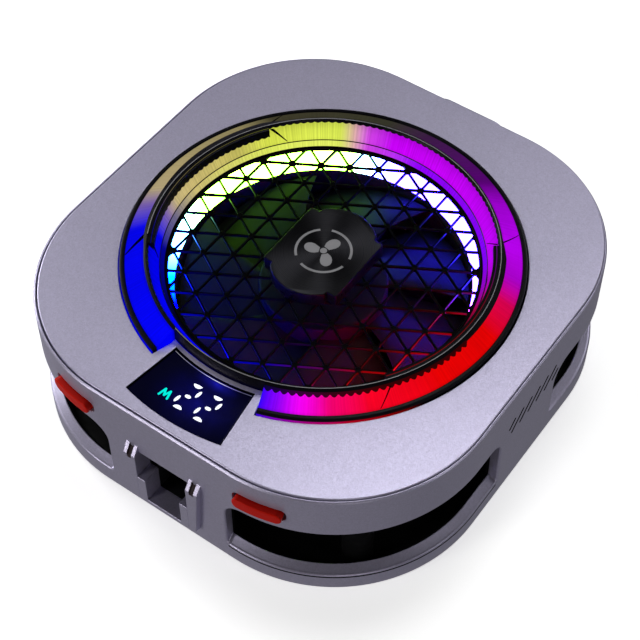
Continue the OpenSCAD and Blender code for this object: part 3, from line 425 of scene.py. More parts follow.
def rounded(points, radius, steps=6):
    """An anticlockwise polygon with its corners rounded."""
    p = [np.array(q, float) for q in points]
    radii = radius if isinstance(radius, (list, tuple)) else [radius] * len(p)
    out = []
    for i, r in enumerate(radii):
        a, b, c = p[i - 1], p[i], p[(i + 1) % len(p)]
        d1, d2 = (a - b) / np.linalg.norm(a - b), (c - b) / np.linalg.norm(c - b)
        if r <= 0:
            out.append(b)
            continue
        half = math.acos(max(-1, min(1, float(d1 @ d2)))) / 2
        mid = (d1 + d2) / np.linalg.norm(d1 + d2)
        centre = b + mid * (r / math.sin(half))
        v1, v2 = b + d1 * (r / math.tan(half)) - centre, b + d2 * (r / math.tan(half)) - centre
        a1, a2 = math.atan2(v1[1], v1[0]), math.atan2(v2[1], v2[0])
        turn = (a2 - a1 + math.pi) % (2 * math.pi) - math.pi
        out += [centre + r * np.array([math.cos(a1 + turn * k / steps), math.sin(a1 + turn * k / steps)])
                for k in range(steps + 1)]
    return out


def dense(loop, step):
    """A loop with its long edges divided."""
    out = []
    for a, b in zip(loop, loop[1:] + loop[:1]):
        n = max(1, math.ceil(np.linalg.norm(b - a) / step))
        out += [a + (b - a) * k / n for k in range(n)]
    return out


def box_loop(u0, v0, u1, v1, radius, steps=6):
    return rounded([(u0, v0), (u1, v0), (u1, v1), (u0, v1)], radius, steps)


def arc(r, a0, a1, n):
    turns = [math.radians(a) for a in np.linspace(a0, a1, n)]
    return [r * np.array([math.cos(t), math.sin(t)]) for t in turns]


def add_object(name, data):
    ob = bpy.data.objects.new(name, data)
    bpy.context.scene.collection.objects.link(ob)
    return ob


def make(name, verts, faces, mats, mat_ids=None, body="case", slot=None, replaces=(), sharp=32, bevel=0.0):
    """A mesh object from millimetres, with shared points joined, facing out, that rides on a body."""
    me = bpy.data.meshes.new(name)
    me.from_pydata([tuple(c * MM for c in p) for p in verts], [], faces)
    for m in mats:
        me.materials.append(m)
    if mat_ids is not None:
        me.polygons.foreach_set("material_index", mat_ids)
    bm = bmesh.new()
    bm.from_mesh(me)
    bmesh.ops.remove_doubles(bm, verts=bm.verts, dist=0.002 * MM)
    bmesh.ops.recalc_face_normals(bm, faces=bm.faces)
    bm.to_mesh(me)
    bm.free()
    me.polygons.foreach_set("use_smooth", [True] * len(me.polygons))
    me.set_sharp_from_angle(angle=math.radians(sharp))
    ob = add_object(name, me)
    if bevel:
        mod = ob.modifiers.new("edges", "BEVEL")
        mod.width, mod.segments, mod.limit_method, mod.angle_limit = bevel * MM, 3, "ANGLE", math.radians(30)
        mod.harden_normals = True
    else:
        mod = ob.modifiers.new("normals", "WEIGHTED_NORMAL")
        mod.keep_sharp, mod.weight = True, 80
    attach(ob, body)
    if replaces:
        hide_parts(*replaces)
    return ob


def make_shell(name, shell, place, mats, **kw):
    return make(name, [place(*p) for p in shell.v], shell.f, mats, shell.m, **kw)


def make_flat(name, shell, z, mats, **kw):
    """A shell that lies level, with its face at a height."""
    return make_shell(name, shell, lambda u, v, d: (u, v, z - d), mats, **kw)


def bands(rows, n, start=0, full=False):
    """Faces between rows of n points, where each row is a closed loop."""
    faces = []
    for i in range(rows if full else rows - 1):
        a, b = start + i * n, start + (i + 1) % rows * n
        faces += [(a + k, b + k, b + (k + 1) % n, a + (k + 1) % n) for k in range(n)]
    return faces


def ends(rows, n, start=0):
    last = start + (rows - 1) * n
    return [tuple(range(start, start + n)), tuple(range(last, last + n))]


def revolve(profile, a0, a1, steps, seg_mats=None):
    """Vertices, faces and material numbers of a profile (r, z) turned about the axis."""
    full = abs(a1 - a0) >= 360
    angles = np.radians(np.linspace(a0, a1, steps + 1)[:-1] if full else np.linspace(a0, a1, steps + 1))
    verts = [(r * math.cos(a), r * math.sin(a), z) for a in angles for r, z in profile]
    n, rows = len(profile), len(angles)
    seg_mats = seg_mats or [0] * n
    faces, ids = bands(rows, n, full=full), seg_mats * (rows if full else rows - 1)
    if not full:
        faces += ends(rows, n)
        ids += [max(seg_mats, key=seg_mats.count)] * 2
    return verts, faces, ids


def turned(name, profile, a0, a1, steps, mats, seg_mats=None, **kw):
    verts, faces, ids = revolve(profile, a0, a1, steps, seg_mats)
    return make(name, verts, faces, mats, ids, **kw)


# ---- Case ----------------------------------------------------------------------------------------

# The wall is unrolled: s runs anticlockwise along the outline from the middle of the left face.
FLAT_X, FLAT_Y, QUARTER = HALF_W - CORNER, HALF_L - CORNER, math.pi * CORNER / 2
S_CORNER = [FLAT_Y, FLAT_Y + QUARTER + 2 * FLAT_X, 3 * FLAT_Y + 2 * QUARTER + 2 * FLAT_X,
            3 * FLAT_Y + 3 * QUARTER + 4 * FLAT_X]
CENTRES = [(-FLAT_X, -FLAT_Y), (FLAT_X, -FLAT_Y), (FLAT_X, FLAT_Y), (-FLAT_X, FLAT_Y)]
S_END = 4 * (FLAT_X + FLAT_Y + QUARTER)
S_FRONT = FLAT_Y + QUARTER + FLAT_X
S_RIGHT = S_FRONT + FLAT_X + QUARTER + FLAT_Y
S_BACK = S_RIGHT + FLAT_Y + QUARTER + FLAT_X


def on_wall(s, z, d):
    """A point of the wall: along the outline, up, and in from the outer face."""
    s = min(max(s, 0.0), S_END)
    for k, (s0, (cx, cy)) in enumerate(zip(S_CORNER, CENTRES)):
        if s <= s0 + QUARTER:
            a = math.pi + k * math.pi / 2 + max(0.0, s - s0) / CORNER
            back = max(0.0, s0 - s)
            nx, ny = math.cos(a), math.sin(a)
            return cx + nx * (CORNER - d) + ny * back, cy + ny * (CORNER - d) - nx * back, z
    return -HALF_W + d, S_END - s, z


VENT_Z0, VENT_Z1, VENT_X, VENT_Y = 3.95, 15.3, 11.0, 7.8
CLIP_W, NECK_W, CLIP_Z0, STEP_Z, CLIP_Z1 = 4.7, 3.2, 4.0, 9.1, 14.3
STROKES, STROKE_PITCH, STROKE_Z, STROKE_L, STROKE_W = 7, 2.37, 15.6, 4.4, 0.55
# Rails and blocks round the socket: lower end, and how far they go in and out from the wall's face
RAIL_Z0, RAIL_IN, RAIL_OUT = 3.2, 1.9, 1.1
SOCKET = [(-NECK_W, CLIP_Z0), (NECK_W, CLIP_Z0), (NECK_W, STEP_Z), (CLIP_W, STEP_Z),
          (CLIP_W, CLIP_Z1), (-CLIP_W, CLIP_Z1), (-CLIP_W, STEP_Z), (-NECK_W, STEP_Z)]


def button_s(side):
    return S_FRONT + side * (FLAT_X + math.radians(BUTTON_A) * CORNER)


def button_loop(side, more_l, more_h, radius):
    """Outline of a button, larger by a margin at its ends and at its long sides."""
    s, half_l, half_h = button_s(side), BUTTON_L / 2, BUTTON_H / 2
    return dense(box_loop(s - half_l - more_l, BUTTON_Z - half_h - more_h, s + half_l + more_l,
                          BUTTON_Z + half_h + more_h, radius, 8), 0.6)


def chamfer(leg, soft=0.06):
    """Steps in and down from a corner along a chamfer with soft ends, from the side to the top."""
    turn = np.linspace(0, math.pi / 4, 4)
    low = [(soft * (1 - math.cos(t)), leg + soft * 0.41 - soft * math.sin(t)) for t in turn]
    return low + [(z, d) for d, z in reversed(low)]


def build_wall():
    sh = Shell()
    stops = {0.0, S_END, S_FRONT, S_BACK, S_RIGHT}
    for s0 in S_CORNER:
        stops |= set(np.linspace(s0, s0 + QUARTER, 45))
    stops |= {S_FRONT - FLAT_X / 2, S_FRONT + FLAT_X / 2, S_BACK - FLAT_X / 2, S_BACK + FLAT_X / 2}
    stops |= {S_RIGHT - FLAT_Y / 2, S_RIGHT + FLAT_Y / 2, FLAT_Y / 2, S_END - FLAT_Y / 2}
    line = sorted(stops)
    line = [s for i, s in enumerate(line) if i == 0 or s - line[i - 1] > 1e-6]

    def row(z, d):
        return sh.ring([(s, z) for s in line], d)

    foot, edge, lip = 0.3, 0.24, 0.06
    rows = [row(Z_FOOT + up, d) for up, d in quarter(6, foot, foot)]
    rows.append(row(Z_FOOT, WALL))
    tops = [row(Z_RIM - z, d) for d, z in chamfer(edge)]
    tops += [row(Z_RIM - z, RIM - d) for z, d in reversed(quarter(4, lip, lip))]
    tops += [row(Z_COVER, RIM), row(Z_COVER, WALL)]
    sh.strips(rows, closed=False)
    sh.strips(tops, closed=False)

    fronts, backs = [], []

    def through(loop, fillet, steps):
        a, b = sh.edge(loop, fillet, WALL, 1, steps)
        fronts.append(a)
        backs.append(b)

    near_end = S_CORNER[1] + QUARTER + FLAT_Y - VENT_Y
    far_end = 2 * S_RIGHT - near_end
    vents = [(S_FRONT + VENT_X, near_end), (2 * S_FRONT - near_end, S_FRONT - VENT_X),
             (far_end, S_BACK - VENT_X), (S_BACK + VENT_X, 2 * S_BACK - far_end)]

    def vent(s0, s1, fillet=0.34, deep=0.44):
        """An opening whose sill rises inwards to a low lip."""
        loop = dense(box_loop(s0, VENT_Z0, s1, VENT_Z1, [0.6, 0.6, 3.5, 3.5], 10), 0.95)
        normals = outward(loop)
        path = [(off, depth, 0.0) for off, depth in quarter(7, fillet, deep)]
        path += [(0.0, SILL - 0.12, SILL_RISE - 0.05), (0.0, SILL - 0.04, SILL_RISE),
                 (0.02, SILL + 0.04, SILL_RISE), (0.1, SILL + 0.12, SILL_RISE - 0.05), (0.1, WALL, 0.0)]
        rings = [sh.ring([p + off * n + np.array([0.0, up * max(0.0, -n[1])])
                          for p, n in zip(loop, normals)], depth) for off, depth, up in path]
        sh.strips(rings[:-1])
        sh.strip(rings[-2], rings[-1], mat=1)
        fronts.append(rings[0])
        backs.append(rings[-1])

    for s0, s1 in vents:
        vent(s0, s1)
    for side in (-1, 1):
        through(button_loop(side, 0.45, 0.3, 1.1), 0.1, 3)
    grown = [p + 0.03 * n for p, n in zip([np.array(q) for q in SOCKET], outward(SOCKET))]
    through([p + np.array([S_FRONT, 0]) for p in grown], 0.16, 4)
    through(stadium(S_BACK, INLET_Z, INLET_L, INLET_H), 0.05, 2)

    def engrave(loop, depth):
        a, b = sh.edge(loop, 0.05, depth, 1, 2, mat=1)
        fronts.append(a)
        sh.skin(b, mat=1)

    for i in range(STROKES):
        low = 0.0 if i == 0 else -STROKE_L / 2
        high = 0.0 if i == STROKES - 1 else STROKE_L / 2
        at = S_RIGHT + 1 + (i - (STROKES - 1) / 2) * STROKE_PITCH
        engrave(slanted(at, STROKE_Z, low, high, STROKE_W), 0.25)
    s0, s1 = vents[0]
    engrave(dense(box_loop(s0 + 0.3, 3.26, s1 - 0.3, 3.5, 0.11, 3), 0.95), 0.3)
    sh.skin(rows[0] + tops[0][::-1], fronts)
    sh.skin(rows[-1] + tops[-1][::-1], backs, mat=1)
    make_shell("side_wall", sh, on_wall, [PAINT, INNER], slot="silver_paint", replaces=("side_frame",))


def stadium(u, v, length, height, steps=18):
    r = height / 2
    side = np.array([length / 2 - r, 0.0])
    mid = np.array([u, v])
    return [mid + side + p for p in arc(r, -90, 90, steps)] + [mid - side + p for p in arc(r, 90, 270, steps)]


def slanted(u, v, low, high, width):
    """A stroke at 45 degrees, between two distances from its middle."""
    c = math.cos(math.radians(45))
    along, across = np.array([c, c]), np.array([-c, c]) * width / 2
    mid = np.array([u, v])
    a, b = mid + along * low, mid + along * high
    return rounded([a - across, b - across, b + across, a + across], width * 0.45, 4)


def window_loop(margin, steps=4):
    r0, r1 = WINDOW_R0 - margin, WINDOW_R1 + margin
    slope = (WINDOW_W1 - WINDOW_W0) / 2 / (WINDOW_R1 - WINDOW_R0)

    def side_x(y):
        return WINDOW_W0 / 2 + margin + slope * (-y - WINDOW_R0)

    def corner(r):
        y = -r
        for _ in range(20):
            y = -math.sqrt(r * r - side_x(y) ** 2)
        return math.degrees(math.atan2(y, side_x(y)))

    a0, a1 = corner(r0), corner(r1)
    return dense(arc(r1, -180 - a1, a1, 25) + arc(r0, a0, -180 - a0, 25), 2.0)


def build_cover():
    """The plate inside the rim. It lies off the middle, so the seam is wider at the left and front."""
    sh = Shell()
    inset = RIM + SLIP
    outline = []
    for k, (x, y) in enumerate(((1, -1), (1, 1), (-1, 1), (-1, -1))):
        outline += [np.array([x * FLAT_X + 0.1, y * FLAT_Y + 0.06]) + p
                    for p in arc(CORNER - inset, -90 + 90 * k, 90 * k, 45)]
    tongue = 17.3
    r_out, r_in = RING_R + SLIP + 0.05, SPINE_OUT + SLIP + 0.05
    hole = arc(r_out, -90 + tongue, 270 - tongue, 260) + arc(r_in, 270 - tongue, 270 + tongue, 40)
    first, last = sh.edge(outline, 0.2, Z_TOP - Z_COVER, -1, 5)
    h0, h1 = sh.edge(hole, 0.12, Z_TOP - Z_COVER, 1, 3)
    recess = window_loop(0.1)
    w0, w1 = sh.edge(recess, 0.1, 0.14, 1, 3)
    w2 = sh.ring(recess, 0.9)
    sh.strip(w1, w2, mat=1)
    sh.skin(first, [h0, w0])
    sh.skin(last, [h1])
    sh.skin(w2, mat=1)
    make_flat("cover_plate", sh, Z_TOP, [PAINT, INNER], slot="silver_paint", replaces=("top_cover",))


def build_window():
    sh = Shell()
    sh.plate(window_loop(-0.12), 0.08, 0.55, 3)
    make_flat("window_pane", sh, Z_PANE, [WINDOW], slot="window", replaces=("display_window",), sharp=10)
    # Glowing strip at the window's inner edge: a light leak and a painted reflection.
    r0, r1, low, high = 28.42, 28.5, Z_PANE - 0.02, Z_PANE + 0.03
    line = [(r0, low), (r0, high), (r1, high), (r1, low)]
    turned("window_edge_leak_and_glint", line, -104.3, -75.7, 40, [RIM_LEAK_AND_GLINT], slot="light")


def build_button(side):
    """A bar in its slot, with a flange behind the wall and a nub on the switch."""
    sh = Shell()
    s = button_s(side)
    sh.plate(button_loop(side, 0.0, 0.0, 0.95), 0.22, BUTTON_OUT + 2.4, 5)
    flange = sh.plate(dense(stadium(s, BUTTON_Z, BUTTON_L + 1.6, BUTTON_H), 0.6), 0.0, 0.9)
    sh.sink(flange, BUTTON_OUT + 2.35)
    first, last = sh.edge(stadium(s, BUTTON_Z, 1.8, 1.4), 0.0, 0.9, -1)
    sh.skin(last)
    sh.sink(first + last, BUTTON_OUT + 3.1)
    name = "right" if side > 0 else "left"
    make_shell(name + "_button_bar", sh, lambda u, v, d: on_wall(u, v, d - BUTTON_OUT), [RED],
               body="button_" + name, slot="red_button", replaces=(name + "_button",))


def prism(name, outline, x0, x1, mats, bevel, **kw):
    """A shape in the Y-Z plane, given thickness along X."""
    n = len(outline)
    verts = [(x, y, z) for x in (x0, x1) for y, z in outline]
    faces = [tuple(range(n)), tuple(range(n, 2 * n))]
    faces += [(k, (k + 1) % n, n + (k + 1) % n, n + k) for k in range(n)]
    return make(name, verts, faces, mats, bevel=bevel, **kw)


def build_rail(side):
    """A rail beside the socket: narrower below, with a groove in its sloped top."""
    y, z0, z1 = -HALF_L, RAIL_Z0, 15.8
    back, out, drop = y + RAIL_IN, y - RAIL_OUT, 0.6
    front = z1 - 1.7

    def outer(z):
        return 7.0 - (z1 - z) / (z1 - z0)

    planes = [lambda z: CLIP_W, lambda z: 5.45, lambda z: 6.15, outer]
    verts = []

    def at(k, py, pz):
        verts.append((side * planes[k](pz), py, pz))
        return len(verts) - 1

    foot = [(back, z0), (y, z0), (out, z0 + RAIL_OUT / 2)]
    high = [(out, front), (y, z1), (back, z1)]
    low = [(py, pz - drop) for py, pz in high]
    base = [[at(k, *p) for p in foot] for k in (0, 3)]
    tops = [[at(k, *p) for p in high] for k in range(4)]
    lows = {k: [at(k, *p) for p in low] for k in range(4)}
    faces = [tuple(base[0] + [lows[0][0]] + tops[0]), tuple(base[1] + [lows[3][0]] + tops[3])]
    faces += [(base[0][i], base[0][i + 1], base[1][i + 1], base[1][i]) for i in (0, 1)]
    faces.append((base[0][2], base[1][2], lows[3][0], lows[2][0], lows[1][0], lows[0][0]))
    for k in (0, 2):
        faces.append((lows[k][0], lows[k + 1][0], tops[k + 1][0], tops[k][0]))
        faces += [(tops[k][i], tops[k + 1][i], tops[k + 1][i + 1], tops[k][i + 1]) for i in (0, 1)]
    ids = [0] * len(faces)
    # Faces of the groove, in the darker paint: painted shade.
    faces += [(lows[1][i], lows[2][i], lows[2][i + 1], lows[1][i + 1]) for i in (0, 1)]
    faces += [tuple(lows[k] + tops[k][::-1]) for k in (1, 2)]
    ids += [1] * 4
    faces.append((base[0][0], tops[0][2], tops[1][2], lows[1][2], lows[2][2], tops[2][2], tops[3][2],
                  base[1][0]))
    ids.append(0)
    name = "left" if side < 0 else "right"
    make(f"clip_rail_{name}", verts, faces, [PAINT, GROOVE_SHADE], ids, bevel=0.12, slot="silver_paint")


def build_clip():
    build_rail(-1)
    build_rail(1)
    y, back, out = -HALF_L, -HALF_L + RAIL_IN, -HALF_L - RAIL_OUT
    foot = [(back, RAIL_Z0), (y, RAIL_Z0), (out, RAIL_Z0 + RAIL_OUT / 2)]
    side, sill = [foot + [(out, top), (back, top)] for top in (STEP_Z, CLIP_Z0)]
    for name, outline, x0, x1 in (("block_left", side, -CLIP_W - 0.02, -NECK_W),
                                  ("block_right", side, NECK_W, CLIP_W + 0.02),
                                  ("sill", sill, -NECK_W - 0.02, NECK_W + 0.02)):
        prism("clip_" + name, outline, x0, x1, [PAINT], 0.1, slot="silver_paint")


def build_boss():
    sh = Shell()
    mid, half_w, half_h, out, depth = INLET_Z + 0.5, 6.7, 4.7, 3.6, 4.4
    outline = box_loop(-half_w, mid - half_h, half_w, mid + half_h, 2.2, 10)
    first, last = sh.edge(outline, 0.45, depth, -1, 5)
    h0, h1 = sh.edge(stadium(0, INLET_Z, INLET_L, INLET_H), 0.18, depth, 1, 3)
    sh.skin(first, [h0])
    sh.skin(last, [h1])
    make_shell("inlet_boss", sh, lambda u, v, d: (-u, HALF_L + out - d, v), [PAINT], slot="silver_paint")


# ---- Ring, grille and hub ------------------------------------------------------------------------

STEP_A = 360 / TEETH / 2
RING_STEPS = round((RING_A1 - RING_A0) / STEP_A)
SCALLOP_A = -6.0
# Joints between the ring's sections, the side on which the narrow sections lie, and their width in degrees
JOINTS = ((36.3, 1, 0.25), (144.0, -1, 0.6), (-148.9, 1, 1.0), (-33.5, -1, 0.3))


def slope_z(r):
    """Height of the outer slope."""
    return Z_SLOPE0 - (r - OUTER_IN) * (Z_SLOPE0 - Z_SLOPE1) / (OUTER_OUT - OUTER_IN)


def inner_z(r):
    """Height of the inner slope."""
    return Z_GLOW + (r - RING_IN) * (Z_INNER - Z_GLOW) / (INNER_OUT - RING_IN)


def build_outer_light():
    slope = [(r, slope_z(r)) for r in (OUTER_IN, 28.2, OUTER_OUT)]
    turned("outer_light", [(OUTER_IN, Z_RING), *slope, (OUTER_OUT, Z_RING)], RING_A0, RING_A1, RING_STEPS,
           [LIT_OUT], slot="diffuser", replaces=("outer_diffuser",), sharp=20)


def build_joints():
    """Dark lines at the joints, over both slopes from the ridge."""
    verts, faces = [], []
    slopes = ((OUTER_IN + 0.1, OUTER_OUT - 0.05, 5.5, slope_z), (26.7, RING_IN + 0.05, 5.0, inner_z))
    for joint, side, wide in JOINTS:
        for r0, r1, turn, height in slopes:
            start, n = len(verts), 8
            for k in range(n + 1):
                f = k / n
                r, a = r0 + (r1 - r0) * f, math.radians(joint + side * turn * f)
                half = math.radians(wide * (1.0 - 0.8 * f) + 0.05)
                for b, up in ((a - half, -0.04), (a - half, 0.035), (a + half, 0.035), (a + half, -0.04)):
                    verts.append((r * math.cos(b), r * math.sin(b), height(r) + up))
            faces += bands(n + 1, 4, start) + ends(n + 1, 4, start)
    make("ring_joints", verts, faces, [JOINT], slot="gloss_black", sharp=40)


def toothed(name, inner, outer_base, depth, z_at, a0, a1, mats, lift=0.1):
    """A thin band on a slope, from one radius to a scalloped edge. The edge's radius may be a function. The
    dark glossy and dimmed-light bands made with it over the lit slopes are painted shade.
    """
    verts = []
    angles = np.linspace(a0, a1, max(8, round((a1 - a0) / (360 / TEETH) * 8)) + 1)
    for a in angles:
        wave = abs(math.cos(math.radians(a) * TEETH / 2))
        base = outer_base(a) if callable(outer_base) else outer_base
        edge = base + depth * wave
        c, s = math.cos(math.radians(a)), math.sin(math.radians(a))
        for r, up in ((inner, lift), (base, lift), (edge, lift * 0.6), (edge, -0.15), (inner, -0.15)):
            verts.append((r * c, r * s, z_at(r) + up))
    rows = len(angles)
    make(name, verts, bands(rows, 5) + ends(rows, 5), mats, slot="gloss_black", sharp=50)


def build_inner_light():
    bounds = (-FLAT_A, FLAT_A, 180 - FLAT_A, 180 + FLAT_A, 360 - FLAT_A)
    for k, (a0, a1) in enumerate(zip(bounds, bounds[1:])):
        flat = k % 2 == 0
        top = 25.25 if flat else Z_INNER
        r_top = RING_IN + (top - Z_GLOW) * (INNER_OUT - RING_IN) / (Z_INNER - Z_GLOW)
        profile = [(RING_IN, Z_RING), (RING_IN, Z_GLOW), (r_top, top), (INNER_OUT, top), (INNER_OUT, Z_RING)]
        turned(f"inner_light_{k}", profile, a0, a1, round((a1 - a0) / STEP_A), [LIT_IN, SMOKE],
                            [0, 0, 1, 1, 1], slot="diffuser", sharp=20)
    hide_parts("inner_diffuser")


def build_spine():
    round_r = (SPINE_OUT - SPINE_IN) / 2
    mid = (SPINE_OUT + SPINE_IN) / 2
    profile = [(SPINE_IN, Z_RING)]
    profile += [(mid - round_r * math.cos(t), Z_RIDGE - round_r + round_r * math.sin(t))
                for t in np.linspace(0, math.pi, 9)]
    profile = [(r, min(z, Z_RIDGE - 0.03)) for r, z in profile] + [(SPINE_OUT, Z_RING)]
    turned("ridge_spine", profile, 0, 360, 2 * TEETH, [GLOSS], slot="gloss_black", replaces=("ring_spine",),
           sharp=40)
    # A thin pale strip along the ridge top from -107.7 to 211 degrees: painted highlight.
    line = [(mid - 0.07, Z_RIDGE - 0.2), (mid - 0.06, Z_RIDGE - 0.01), (mid - 0.03, Z_RIDGE),
            (mid + 0.03, Z_RIDGE), (mid + 0.06, Z_RIDGE - 0.01), (mid + 0.07, Z_RIDGE - 0.2)]
    turned("ridge_highlight_line", line, RING_A1 - 360, 211, 260, [RIDGE_HIGHLIGHT], slot="gloss_black", sharp=40)

    # Width of the dark bands beside the ridge round the ring, widest from 146 to 168 degrees.
    def reach(a):
        return OUTER_IN + np.interp(a, *zip((SCALLOP_A, 0.5), (30, 0.6), (38, 0.15), (138, 0.15), (146, 1.4),
                                            (168, 1.3), (190, 0.6), (211, 0.4), (216, 0.15)))

    start = SPINE_OUT - 0.05
    # Teeth of dimmed ring light beside the ridge, from -72.3 to -6 degrees: painted shade.
    toothed("outer_scallops", start, OUTER_IN + 0.55, 0.42, slope_z, RING_A0, SCALLOP_A, [LIT_SHADE], 0.04)
    # Dark glossy bands over the lit outer slope beside the ridge: painted shade.
    toothed("outer_shade_0", start, OUTER_IN + 0.32, 0.0, slope_z, RING_A0, SCALLOP_A, [GLOSS], 0.08)
    toothed("outer_shade_1", start, reach, 0.0, slope_z, SCALLOP_A, RING_A1, [GLOSS], 0.04)
    # Dark glossy teeth along the top of the inner slope: painted shade.
    for k, a0 in enumerate((FLAT_A, 180 + FLAT_A)):
        toothed(f"inner_scallops_{k}", INNER_OUT + 0.05, INNER_OUT - 0.07, -0.1, inner_z, a0,
                a0 + 180 - 2 * FLAT_A, [GLOSS], 0.05)


def build_caps():
    for middle, name in ((0, "right"), (180, "left")):
        r0, r1 = INNER_OUT - 0.95, INNER_OUT
        z0, z1, e = Z_RIDGE - 1.35, Z_RIDGE - 0.05, 0.16
        profile = [(r0, z0), (r0, z1 - e), (r0 + e * 0.3, z1 - e * 0.3), (r0 + e, z1), (r0 + 0.42, z1),
                   (r0 + 0.46, z1 - 0.07), (r0 + 0.54, z1 - 0.07), (r0 + 0.58, z1), (r1, z1), (r1, z0)]
        a0, a1 = middle - FLAT_A, middle + FLAT_A
        turned(f"{name}_cap", profile, a0 + 0.2, a1 - 0.2, 60, [GLOSS, LIT_SOFT], [0] * 5 + [1] + [0] * 4,
               slot="gloss_black", replaces=(f"{name}_ring_cap",), sharp=30)
        # Dark glossy teeth on the inner slope at the cap's edge: painted shade.
        toothed(f"cap_scallops_{name}", r0 + 0.35, r0 + 0.2, -0.1, inner_z, a0, a1, [GLOSS], 0.05)


def build_bezel():
    e, low, floor, gap = 0.16, 18.4, 19.4, 23.2
    profile = [(RING_IN, low), (RING_R, low), (RING_R, Z_BEZEL - 0.35), (RING_R - 0.1, Z_BEZEL - e * 0.4),
               (RING_R - 0.26, Z_BEZEL), (BEZEL_IN + e, Z_BEZEL), (BEZEL_IN, Z_BEZEL - e), (BEZEL_IN, floor),
               (RING_IN, floor)]
    turned("bezel_tray", profile, RING_A0, RING_A1, RING_STEPS, [GLOSS], slot="gloss_black",
           replaces=("ring_frame",), sharp=30)
    line = [(RING_R - 0.05, gap), (RING_R + 0.14, gap), (RING_R + 0.14, 23.97), (RING_R + 0.02, 24.12),
            (RING_R - 0.05, 24.12)]
    turned("bezel_light_gap", line, RING_A0, RING_A1, RING_STEPS, [LIT_LINE], slot="diffuser", sharp=40)
    line = [(SPINE_OUT - 0.03, gap), (SPINE_OUT + 0.07, gap), (SPINE_OUT + 0.07, 23.85),
            (SPINE_OUT - 0.03, 23.95)]
    turned("near_light_gap", line, RING_A1 - 360, RING_A0, 30, [LIT_LINE], slot="diffuser", sharp=40)
    lip = [(SPINE_OUT + 0.18, 23.9), (SPINE_OUT + 0.18, 24.24), (SPINE_OUT + 0.23, 24.27),
           (WINDOW_R0 - 0.09, 24.02), (WINDOW_R0 - 0.06, 23.9)]
    turned("cover_lip", lip, RING_A1 - 359.5, RING_A0 - 0.5, 40, [PAINT], slot="silver_paint", sharp=30)


def build_glow_wall():
    foot = 18.55
    profile = [(DUCT + 0.05, Z_DUCT), (DUCT + 0.05, foot), (GLOW_IN, foot), (GLOW_IN, 21.7), (GLOW_IN, 22.5),
               (GLOW_IN + 0.12, 22.55), (GLOW_OUT - 0.12, Z_GLOW - 0.12), (GLOW_OUT, Z_GLOW),
               (GLOW_OUT, Z_DUCT)]
    turned("glow_ring", profile, 0, 360, 180, [GLOW, LIT_LOW, GLOSS], [0, 0, 0, 2, 2, 1, 2, 2, 0],
           slot="light", replaces=("duct_diffuser",), sharp=30)


def clip_disc(loop, r, n=180):
    """The part of a convex loop inside a circle."""
    for k in range(n):
        a = 2 * math.pi * k / n
        m = np.array([math.cos(a), math.sin(a)])
        d = [float(p @ m) - r for p in loop]
        if max(d) <= 0:
            continue
        out = []
        for i, p in enumerate(loop):
            q, dp, dq = loop[(i + 1) % len(loop)], d[i], d[(i + 1) % len(loop)]
            if dp <= 0:
                out.append(p)
            if (dp <= 0) != (dq <= 0):
                out.append(p + (q - p) * dp / (dp - dq))
        loop = out
        if len(loop) < 3:
            return []
    return loop


def build_grille():
    pitch, bar, bevel = 4.7, 0.3, 0.07
    column, rim_in = pitch * math.sqrt(3) / 2, GRILLE_R - 0.18
    open_r = pitch / math.sqrt(3) - bar
    reach = math.ceil(GRILLE_R / column)
    sh = Shell()
    fronts, backs, bosses = [], [], set()
    for i in range(-reach - 1, reach + 1):
        for j in range(-2 * reach, 2 * reach + 1):
            x, y = i * column, (j + i / 2) * pitch
            if 6.0 < math.hypot(x, y) < rim_in - 0.4:
                bosses.add((round(x, 4), round(y, 4)))
            for cx, cy, turn in ((x + pitch / (2 * math.sqrt(3)), y + pitch / 2, 0),
                                 (x + pitch / math.sqrt(3), y, 180)):
                away = math.hypot(cx, cy)
                if away > rim_in + open_r or away < 4.2:
                    continue
                tri = [np.array([cx, cy]) + p for p in arc(open_r, turn, turn + 240, 3)]
                loop = clip_disc(tri, rim_in - bevel - 0.1)
                if len(loop) < 3:
                    continue
                loop = drop_short(loop, 0.12)
                if len(loop) < 3 or breadth(loop) < 0.35:
                    continue
                a, b = sh.edge(soft_corners(loop, 0.22), bevel, Z_NET1 - Z_NET0, 1, 2)
                fronts.append(a)
                backs.append(b)
    rim = arc(rim_in, 0, 360, 181)[:-1]
    outer_f, outer_b = sh.ring(rim, 0.0), sh.ring(rim, Z_NET1 - Z_NET0)
    sh.skin(outer_f, fronts)
    sh.skin(outer_b, backs)
    make_flat("grille_net", sh, Z_NET1, [NET], slot="gloss_black", replaces=("grille",), sharp=25)
    e = 0.14
    top = Z_NET1 + 0.15
    profile = [(rim_in - 0.02, Z_NET0), (rim_in - 0.02, top - e), (rim_in + e, top), (GLOW_IN + 0.06, top),
               (GLOW_IN + 0.1, top - 0.05), (GLOW_IN + 0.1, top - 0.12), (GRILLE_R, top - 0.2),
               (GRILLE_R, Z_NET0)]
    turned("grille_rim", profile, 0, 360, 180, [NET], slot="gloss_black", sharp=30)
    verts, faces, sides = [], [], 12
    star = [(math.cos(a) * (1.0 if k % 2 else 0.82), math.sin(a) * (1.0 if k % 2 else 0.82))
            for k, a in enumerate(np.linspace(0, 2 * math.pi, sides + 1)[:-1] + math.pi / 6)]
    levels = [(0.56, -0.3), (0.54, 0.0), (0.46, 0.07), (0.22, 0.08)]
    for x, y in sorted(bosses):
        start = len(verts)
        for r, up in levels:
            verts += [(x + r * c, y + r * s, Z_NET1 + up) for c, s in star]
        faces += bands(len(levels), sides, start) + ends(len(levels), sides, start)
    make("grille_bosses", verts, faces, [NET], slot="gloss_black", sharp=30)


